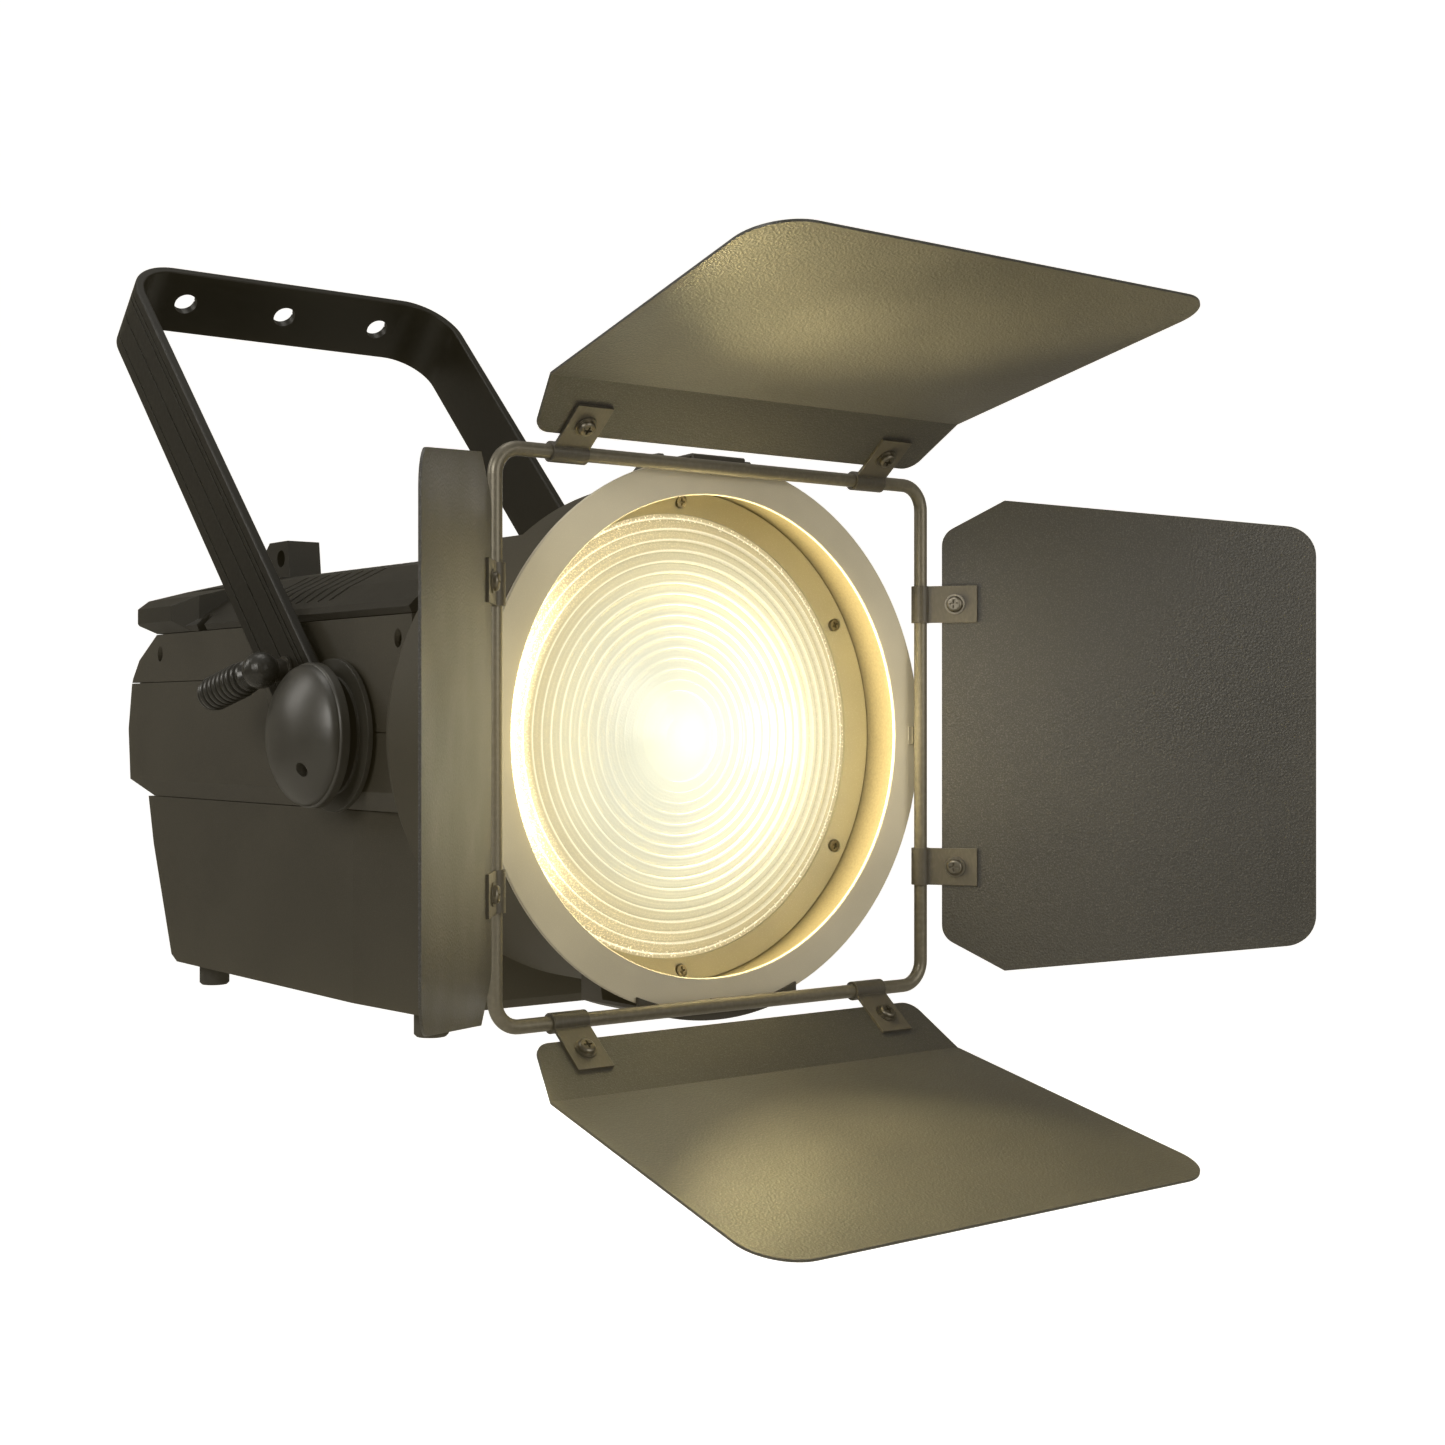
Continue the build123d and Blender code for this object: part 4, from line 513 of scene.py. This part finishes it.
# floor that curves up into a back wall, all round
prof = [(0.0, 0.0), (4.0, 0.0)]
for i in range(1, 13):
    a = math.radians(90 * i / 12)
    prof.append((4.0 + 1.5 * math.sin(a), 1.5 - 1.5 * math.cos(a)))
prof.append((5.5, 6.0))
rings = []
SEG = 96
for (r, z) in prof[1:]:
    rings.append([bm.verts.new((WIRE.x + r * math.cos(2 * math.pi * k / SEG), WIRE.y + r * math.sin(2 * math.pi * k / SEG), FLOOR_Z + z)) for k in range(SEG)])
centre = bm.verts.new((WIRE.x, WIRE.y, FLOOR_Z))
for k in range(SEG):
    bm.faces.new((centre, rings[0][k], rings[0][(k + 1) % SEG]))
    for a, b in zip(rings, rings[1:]):
        bm.faces.new((a[k], b[k], b[(k + 1) % SEG], a[(k + 1) % SEG]))
me = bpy.data.meshes.new("floor")
bm.normal_update()
bm.to_mesh(me)
bm.free()
for p in me.polygons:
    p.use_smooth = True
floor = bpy.data.objects.new("floor", me)
scene.collection.objects.link(floor)
fm = Nodes("floor_paper")
fp = fm.principled(fm.mix(fm.noise(3.0, 2.0), (0.66, 0.64, 0.59), (0.69, 0.67, 0.62)), 0.9, None, Specular_IOR_Level=0.1)
fp.inputs["Emission Color"].default_value = (1, 1, 1, 1)
fl = fm.new("LightPath")
fm.put(fp.inputs["Emission Strength"], fm.math("MULTIPLY", fl.outputs["Is Camera Ray"], 0.86))
floor.data.materials.append(fm.mat)

# ---------------------------------------------------------------- light
world = bpy.data.worlds.new("studio")
scene.world = world
world.use_nodes = True
bg = world.node_tree.nodes["Background"]
wt = world.node_tree
# the camera sees plain white; the object is lit by a soft dome, brighter above and to the left
wl = wt.nodes.new("ShaderNodeLightPath")
wc = wt.nodes.new("ShaderNodeTexCoord")
ws = wt.nodes.new("ShaderNodeVectorMath")
ws.operation = "DOT_PRODUCT"
ws.inputs[1].default_value = (-0.55, -0.25, 0.80)
wt.links.new(wc.outputs["Generated"], ws.inputs[0])
wr = wt.nodes.new("ShaderNodeMapRange")
wr.inputs[1].default_value, wr.inputs[2].default_value = -0.6, 1.0
wr.inputs[3].default_value, wr.inputs[4].default_value = 0.02, 0.40
wt.links.new(ws.outputs["Value"], wr.inputs[0])
wm = wt.nodes.new("ShaderNodeMix")
wm.data_type = "FLOAT"
wt.links.new(wl.outputs["Is Camera Ray"], wm.inputs[0])
wt.links.new(wr.outputs[0], wm.inputs[2])
wm.inputs[3].default_value = 1.0
wt.links.new(wm.outputs[0], bg.inputs[1])
wk = wt.nodes.new("ShaderNodeMix")
wk.data_type = "RGBA"
wt.links.new(wl.outputs["Is Camera Ray"], wk.inputs[0])
wk.inputs[6].default_value = (1.0, 0.97, 0.91, 1.0)
wk.inputs[7].default_value = (1.0, 1.0, 1.0, 1.0)
wt.links.new(wk.outputs[2], bg.inputs[0])
SOFT = (1.0, 0.97, 0.91)


def area(name, loc, target, size, energy, colour=(1, 1, 1), size_y=None):
    d = bpy.data.lights.new(name, "AREA")
    d.energy = energy
    d.color = colour
    d.shape = "RECTANGLE"
    d.size = size
    d.size_y = size_y or size
    o = bpy.data.objects.new(name, d)
    scene.collection.objects.link(o)
    o.location = loc
    o.rotation_mode = "QUATERNION"
    o.rotation_quaternion = (Vector(target) - Vector(loc)).to_track_quat("-Z", "Y")
    return o


MID = (cad_lo + cad_hi) / 2
area("key", MID + Vector((-1.9, -0.9, 0.8)), MID, 0.9, 19, SOFT)
area("fill", MID + Vector((0.4, -2.2, 0.5)), MID, 1.2, 11, SOFT)
area("rim_left", MID + Vector((-1.5, 1.3, 1.0)), MID, 0.4, 9, SOFT, size_y=1.2)
area("top", MID + Vector((0.0, 0.3, 2.0)), MID, 1.0, 6, SOFT)
area("rear", MID + Vector((1.5, 2.0, -0.1)), MID, 1.0, 8, SOFT)

# ---------------------------------------------------------------- camera
cam = bpy.data.cameras.new("camera")
co = bpy.data.objects.new("camera", cam)
scene.collection.objects.link(co)
scene.camera = co
cam.sensor_width = 36.0
cam.lens = 50.95
cam.clip_start, cam.clip_end = 0.01, 60.0
co.location = WIRE + Vector((-0.5395, -0.6914, 0.006))
co.rotation_mode = "QUATERNION"
co.rotation_quaternion = Vector((0.6143, 0.7891, 0.0)).to_track_quat("-Z", "Y")

# soft glow round the lit lens, as a lens of a camera shows it
scene.use_nodes = True
ct = scene.node_tree
ct.nodes.clear()
rl = ct.nodes.new("CompositorNodeRLayers")
gl = ct.nodes.new("CompositorNodeGlare")
gl.glare_type = "BLOOM"
for key, val in (("Threshold", 1.15), ("Smoothness", 0.3), ("Maximum", 14.0), ("Strength", 0.6), ("Saturation", 1.0), ("Tint", (1.0, 0.84, 0.42, 1.0)), ("Size", 0.7)):
    if key in gl.inputs:
        gl.inputs[key].default_value = val
cp = ct.nodes.new("CompositorNodeComposite")
ct.links.new(rl.outputs["Image"], gl.inputs["Image"])
ct.links.new(gl.outputs["Image"], cp.inputs["Image"])

scene.view_settings.view_transform = "Standard"
scene.view_settings.look = "None"
scene.view_settings.exposure = 0.0
